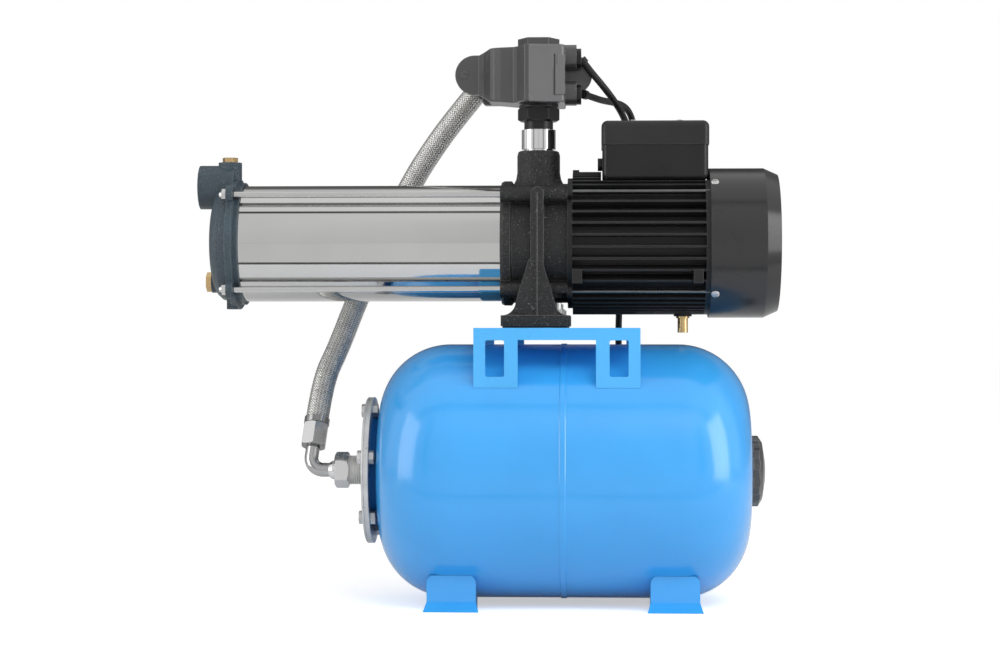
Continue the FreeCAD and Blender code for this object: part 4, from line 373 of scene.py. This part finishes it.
def stations(points, count):
    """Evenly spaced places along a line with a frame that does not twist."""
    lengths = [0.0]
    for before, after in zip(points, points[1:]):
        lengths.append(lengths[-1] + (after - before).length)
    total = lengths[-1]
    places = []
    index = 0
    for step in range(count):
        wanted = total * step / (count - 1)
        while index < len(points) - 2 and lengths[index + 1] < wanted:
            index += 1
        share = (wanted - lengths[index]) / max(lengths[index + 1] - lengths[index], 1e-9)
        places.append(points[index].lerp(points[index + 1], share))
    frames = []
    across = None
    for step, place in enumerate(places):
        ahead = places[min(step + 1, count - 1)] - places[max(step - 1, 0)]
        ahead.normalize()
        if across is None:
            across = ahead.orthogonal().normalized()
        across = (across - ahead * across.dot(ahead)).normalized()
        frames.append((place, across, ahead.cross(across)))
    return frames, total


# Cords
HOSE_ROUTE = [
    (-104, 94, 574), (-124, 94, 550), (-149, 93.5, 517), (-178, 92.5, 472), (-210, 89, 404),
    (-239.5, 79.5, 337), (-259, 62, 281), (-274.1, 42.5, 245.5), (-278.4, 24, 202.2),
]
MOTOR_LEAD_ROUTE = [
    (22.5, 4.8, 598), (31, 6.8, 587), (41, 12, 576), (52, 22, 563), (61.5, 36, 550.5), (68, 53, 539),
    (72.5, 72, 528.5), (80, 90, 518), (91.5, 103, 509), (105, 110, 501), (119, 111, 494.5),
    (132, 105, 489.5), (140.5, 94.5, 486.5), (143.5, 80.5, 485), (143.5, 66, 485),
]
MAINS_ROUTE = [
    (24, 7.5, 563.3), (33.5, 27, 562), (42, 47, 561.2), (53.5, 67, 561.2), (64.5, 84.5, 560.5),
    (72.5, 96.5, 554.5), (77.5, 104, 543), (80, 108.5, 524), (79, 110, 495), (75.5, 109.5, 455),
    (70, 108, 410), (65, 107, 370), (62, 107.5, 337), (61, 111.5, 307), (61, 120.5, 277),
    (61.5, 131.5, 240), (62.5, 142.5, 200), (63.5, 149.5, 160), (64, 151.5, 120), (64, 151.5, 90),
    (63.5, 153, 68), (62.2, 157.5, 49), (60.5, 165.5, 31), (59, 176, 18), (58, 188, 10.5),
    (57.8, 203, 6), (57.8, 222, 4),
]
LEAD_RADIUS = 3.8 * MM
COIL_CENTRE = (10, 244)
COIL_TURNS = 3.5
POINTS_PER_TURN = 16
# Outer and inner turn's distance from the coil's centre, and the heights of its two layers
OUTER = 47.8
INNER = 40.1
FIRST_LAYER = 3.9
SECOND_LAYER = 11.7
# Turns made so far, distance and height
COIL_LAY = [
    (0, OUTER, FIRST_LAYER), (0.8, OUTER, FIRST_LAYER),
    (1.0, INNER, FIRST_LAYER), (1.58, INNER, FIRST_LAYER),
    (1.8, INNER, SECOND_LAYER), (2.52, INNER, SECOND_LAYER),
    (2.66, OUTER, SECOND_LAYER), (COIL_TURNS, OUTER, SECOND_LAYER),
]
PLUG_APPROACH = [(-37.8, 228, 12.5), (-35.5, 215, 15), (-34, 206, 16)]


def between_keys(turns):
    """Distance from the coil's centre and height after a number of turns."""
    for (before, side, height), (after, next_side, next_height) in zip(COIL_LAY, COIL_LAY[1:]):
        if turns <= after:
            share = (turns - before) / (after - before)
            return side + (next_side - side) * share, height + (next_height - height) * share
    return COIL_LAY[-1][1:]


coil_route = []
for step in range(int(COIL_TURNS * POINTS_PER_TURN) + 1):
    turns = step / POINTS_PER_TURN
    side, height = between_keys(turns)
    angle = 2 * math.pi * turns
    along = COIL_CENTRE[0] + side * math.cos(angle)
    depth = COIL_CENTRE[1] + side * math.sin(angle)
    coil_route.append((along, depth, height))

motor_lead = route_curve("motor_lead_flex", MOTOR_LEAD_ROUTE, LEAD_RADIUS, "rubber")
carried(motor_lead, "rubber", "motor_lead")

mains_lead = route_curve("mains_lead_flex", MAINS_ROUTE + coil_route + PLUG_APPROACH, LEAD_RADIUS, "rubber")
carried(mains_lead, "rubber", "mains_lead", "mains_coil")

# Braided hose: flat bundles of wire wound both ways over a dark core, one over and one under; the stretches
# that dip under get a darker wire as painted shade
HOSE_RADIUS = 13 * MM
CORE_RADIUS = 11.9 * MM
CARRIERS = 20
BRAID_PITCH = 62 * MM
CROWN_DEPTH = 0.55 * MM
WEAVE_LIFT = 0.3 * MM
BUNDLE_SHARE = 0.36
HOSE_STATIONS = 940
CORE_SIDES = 32
TOP_WIRE, CORE, SHADED_WIRE = range(3)
hose_line = route_curve("hose_line", HOSE_ROUTE, HOSE_RADIUS, "braid")
hose_points = centreline(hose_line)
bpy.data.objects.remove(hose_line)
frames, hose_length = stations(hose_points, HOSE_STATIONS)
mesh = bmesh.new()


def on_hose(station, angle, radius):
    """A vertex at an angle round the hose's line."""
    place, across, up = station
    return mesh.verts.new(place + (across * math.cos(angle) + up * math.sin(angle)) * radius)


rings = []
for station in frames:
    rings.append([on_hose(station, 2 * math.pi * side / CORE_SIDES, CORE_RADIUS)
                  for side in range(CORE_SIDES)])
for ring, following in zip(rings, rings[1:]):
    for side in range(CORE_SIDES):
        after = (side + 1) % CORE_SIDES
        mesh.faces.new((ring[side], ring[after], following[after], following[side]))
mesh.faces.new(list(reversed(rings[0])))
mesh.faces.new(rings[-1])
for face in mesh.faces:
    face.material_index = CORE
turn_per_step = 2 * math.pi * hose_length / BRAID_PITCH / (len(frames) - 1)
carrier_angle = 2 * math.pi / CARRIERS
half_width = carrier_angle * BUNDLE_SHARE
profile = [(-half_width, CROWN_DEPTH), (0, 0), (half_width, CROWN_DEPTH)]
for direction in (1, -1):
    for carrier in range(CARRIERS):
        previous = None
        for step, station in enumerate(frames):
            angle = carrier * carrier_angle + direction * turn_per_step * step
            # Crossings met so far by this bundle, over one and under the next
            crossings = 2 * turn_per_step * step / carrier_angle
            lift = WEAVE_LIFT * direction * math.cos(math.pi * crossings)
            ring = []
            for offset, drop in profile:
                ring.append(on_hose(station, angle + offset, HOSE_RADIUS - WEAVE_LIFT - drop + lift))
            if previous:
                for left, right, back_left, back_right in zip(previous, previous[1:], ring, ring[1:]):
                    face = mesh.faces.new((left, right, back_right, back_left))
                    # Where a bundle dips under the other it gets the darker wire, a painted shade
                    face.material_index = SHADED_WIRE if lift < 0 else TOP_WIRE
            previous = ring
bmesh.ops.recalc_face_normals(mesh, faces=list(mesh.faces))
hose_mesh = bpy.data.meshes.new("braided_hose_weave")
mesh.to_mesh(hose_mesh)
mesh.free()
for face in hose_mesh.polygons:
    face.use_smooth = True
hose = linked("braided_hose_weave", hose_mesh, "braid", "rubber", "braid_painted_shade")
carried(hose, "braid", "braided_hose")


# Floor, background and light
def seen_directly(tree, path):
    """1 for what the camera sees straight or through a clear piece, and 0 for all else."""
    made = add(tree, "ShaderNodeMath", operation="MAXIMUM")
    connect(tree, path.outputs["Is Camera Ray"], made.inputs[0])
    connect(tree, path.outputs["Is Transmission Ray"], made.inputs[1])
    return made.outputs[0]


def stage_plane(name, centre, size, material):
    mesh = bpy.data.meshes.new(name)
    x, y = size[0] / 2, size[1] / 2
    mesh.from_pydata([(-x, -y, 0), (x, -y, 0), (x, y, 0), (-x, y, 0)], [], [(0, 1, 2, 3)])
    thing = bpy.data.objects.new(name, mesh)
    thing.location = centre
    mesh.materials.append(material)
    bpy.context.scene.collection.objects.link(thing)
    thing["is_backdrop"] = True
    return thing


FLOOR_TONE = 0.86
SEEN_GLOW = 0.5
MIRRORED_GLOW = 0.05
FLOOR_SIZE = (40, 40)
BAND_WIDTH = 30
BAND_HEIGHT = 0.0006
floor_material = bpy.data.materials.new("floor")
floor_material.use_nodes = True
tree = floor_material.node_tree
shader = tree.nodes["Principled BSDF"]
shader.inputs["Base Color"].default_value = (FLOOR_TONE, FLOOR_TONE, FLOOR_TONE, 1)
shader.inputs["Roughness"].default_value = 0.9
shader.inputs["Specular IOR Level"].default_value = 0.0
path = add(tree, "ShaderNodeLightPath")
seen_glow = add(tree, "ShaderNodeMath", operation="MULTIPLY")
seen_glow.inputs[1].default_value = SEEN_GLOW
connect(tree, seen_directly(tree, path), seen_glow.inputs[0])
glow = add(tree, "ShaderNodeMath", operation="MULTIPLY_ADD")
glow.inputs[1].default_value = MIRRORED_GLOW
connect(tree, path.outputs["Is Glossy Ray"], glow.inputs[0])
connect(tree, seen_glow.outputs[0], glow.inputs[2])
shader.inputs["Emission Color"].default_value = (1, 1, 1, 1)
connect(tree, glow.outputs[0], shader.inputs["Emission Strength"])
stage_plane("floor", (0, 0, 0), FLOOR_SIZE, floor_material)


def mirrored_only(name, near, far, level):
    """A band across the floor in front, met by reflections alone."""
    material = bpy.data.materials.new(name)
    material.use_nodes = True
    tree = material.node_tree
    shade_of = add(tree, "ShaderNodeEmission")
    shade_of.inputs["Color"].default_value = (level, level, level, 1)
    connect(tree, shade_of.outputs[0], tree.nodes["Material Output"].inputs["Surface"])
    band = stage_plane(name, (0, -(near + far) / 2, BAND_HEIGHT), (BAND_WIDTH, far - near), material)
    band.visible_camera = False
    band.visible_diffuse = False
    band.visible_shadow = False
    band.visible_transmission = False


mirrored_only("table_edge", near=0.45, far=0.52, level=0.12)
mirrored_only("table_front", near=0.52, far=16, level=0.8)

SOFT_STRENGTH = 0.68
world = bpy.data.worlds.new("studio")
bpy.context.scene.world = world
world.use_nodes = True
tree = world.node_tree
path = add(tree, "ShaderNodeLightPath")
lit = tree.nodes["Background"]
lit.inputs["Strength"].default_value = SOFT_STRENGTH


def bands(value, stops, low, high):
    """Brightness that follows an angle, from stops given in degrees."""
    made = add(tree, "ShaderNodeValToRGB")
    connect(tree, ranged(tree, value, 0, 1, math.radians(low), math.radians(high)), made.inputs["Fac"])
    for angle, level in stops[1:-1]:
        stop = made.color_ramp.elements.new((angle - low) / (high - low))
        stop.color = (level, level, level, 1)
    made.color_ramp.elements[0].color = (stops[0][1],) * 3 + (1,)
    made.color_ramp.elements[-1].color = (stops[-1][1],) * 3 + (1,)
    return made.outputs["Color"]


def math_of(operation, first, second=None):
    """The result of a sum on numbers or sockets."""
    made = add(tree, "ShaderNodeMath", operation=operation)
    for socket, value in zip(made.inputs, (first, second)):
        if isinstance(value, (int, float)):
            socket.default_value = value
        elif value is not None:
            connect(tree, value, socket)
    return made.outputs[0]


# Elevation of each edge of the light tent seen from the front, in degrees, with its brightness
TENT = [(-180, 0.95), (-20, 0.78), (25, 0.84), (60, 0.86), (61.5, 0.05), (64.5, 0.05), (66, 0.95),
        (100, 1.0), (180, 1.0)]
# The same round the object, from straight in front to behind it
SIDES = [(0, 0.82), (10, 1.0), (28, 0.95), (31, 0.3), (34, 0.3), (38, 1.0), (104, 1.0), (118, 0.32),
         (160, 0.22), (180, 0.06)]
# Soft light that fades towards the back, for matt surfaces
SOFT_SIDES = [(0, 1.0), (50, 1.0), (120, 0.62), (180, 0.5)]
direction = add(tree, "ShaderNodeSeparateXYZ")
connect(tree, add(tree, "ShaderNodeTexCoord").outputs["Generated"], direction.inputs["Vector"])
toward = math_of("MULTIPLY", direction.outputs["Y"], -1)
rise = math_of("ARCTAN2", direction.outputs["Z"], toward)
aside = math_of("ABSOLUTE", math_of("ARCTAN2", direction.outputs["X"], toward))
squared = math_of("MULTIPLY", direction.outputs["Z"], direction.outputs["Z"])
level = math_of("SQRT", math_of("SUBTRACT", 1, squared))
tent = add(tree, "ShaderNodeMix", data_type="RGBA", blend_type="MULTIPLY")
connect(tree, ranged(tree, level, 0, 1, start=0.6, end=0.8), tent.inputs["Factor"])
connect(tree, bands(rise, TENT, -180, 180), tent.inputs["A"])
connect(tree, bands(aside, SIDES, 0, 180), tent.inputs["B"])
soft = add(tree, "ShaderNodeMix", data_type="RGBA", blend_type="MULTIPLY")
connect(tree, ranged(tree, level, 0, 1, start=0.3, end=0.8), soft.inputs["Factor"])
soft.inputs["A"].default_value = (1, 1, 1, 1)
connect(tree, bands(aside, SOFT_SIDES, 0, 180), soft.inputs["B"])
connect(tree, soft.outputs["Result"], lit.inputs["Color"])
mirrored = add(tree, "ShaderNodeBackground")
connect(tree, tent.outputs["Result"], mirrored.inputs["Color"])
white = add(tree, "ShaderNodeBackground")
white.inputs["Color"].default_value = (1, 1, 1, 1)
mix_glossy = add(tree, "ShaderNodeMixShader")
connect(tree, path.outputs["Is Glossy Ray"], mix_glossy.inputs["Fac"])
connect(tree, lit.outputs[0], mix_glossy.inputs[1])
connect(tree, mirrored.outputs[0], mix_glossy.inputs[2])
mix_seen = add(tree, "ShaderNodeMixShader")
connect(tree, seen_directly(tree, path), mix_seen.inputs["Fac"])
connect(tree, mix_glossy.outputs[0], mix_seen.inputs[1])
connect(tree, white.outputs[0], mix_seen.inputs[2])
connect(tree, mix_seen.outputs[0], tree.nodes["World Output"].inputs["Surface"])


def softbox(name, place, target, size, power, mirrored=True):
    data = bpy.data.lights.new(name, "AREA")
    data.shape = "RECTANGLE"
    data.size, data.size_y = size
    data.energy = power
    lamp = bpy.data.objects.new(name, data)
    lamp.location = place
    lamp.rotation_euler = (Vector(target) - Vector(place)).to_track_quat("-Z", "Y").to_euler()
    lamp.visible_glossy = mirrored
    bpy.context.scene.collection.objects.link(lamp)


CENTRE = (0, 0, 0.3)
STRIP_SIZE = (0.9, 1.6)
softbox("key", (0.75, -1.7, 2.1), CENTRE, (1.6, 1.0), 27, mirrored=False)
softbox("left_strip", (-1.7, -0.75, 0.7), CENTRE, STRIP_SIZE, 10)
softbox("right_strip", (1.7, -0.75, 0.7), CENTRE, STRIP_SIZE, 15)

for name, thing in nodes.items():
    shade(thing)

low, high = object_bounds()
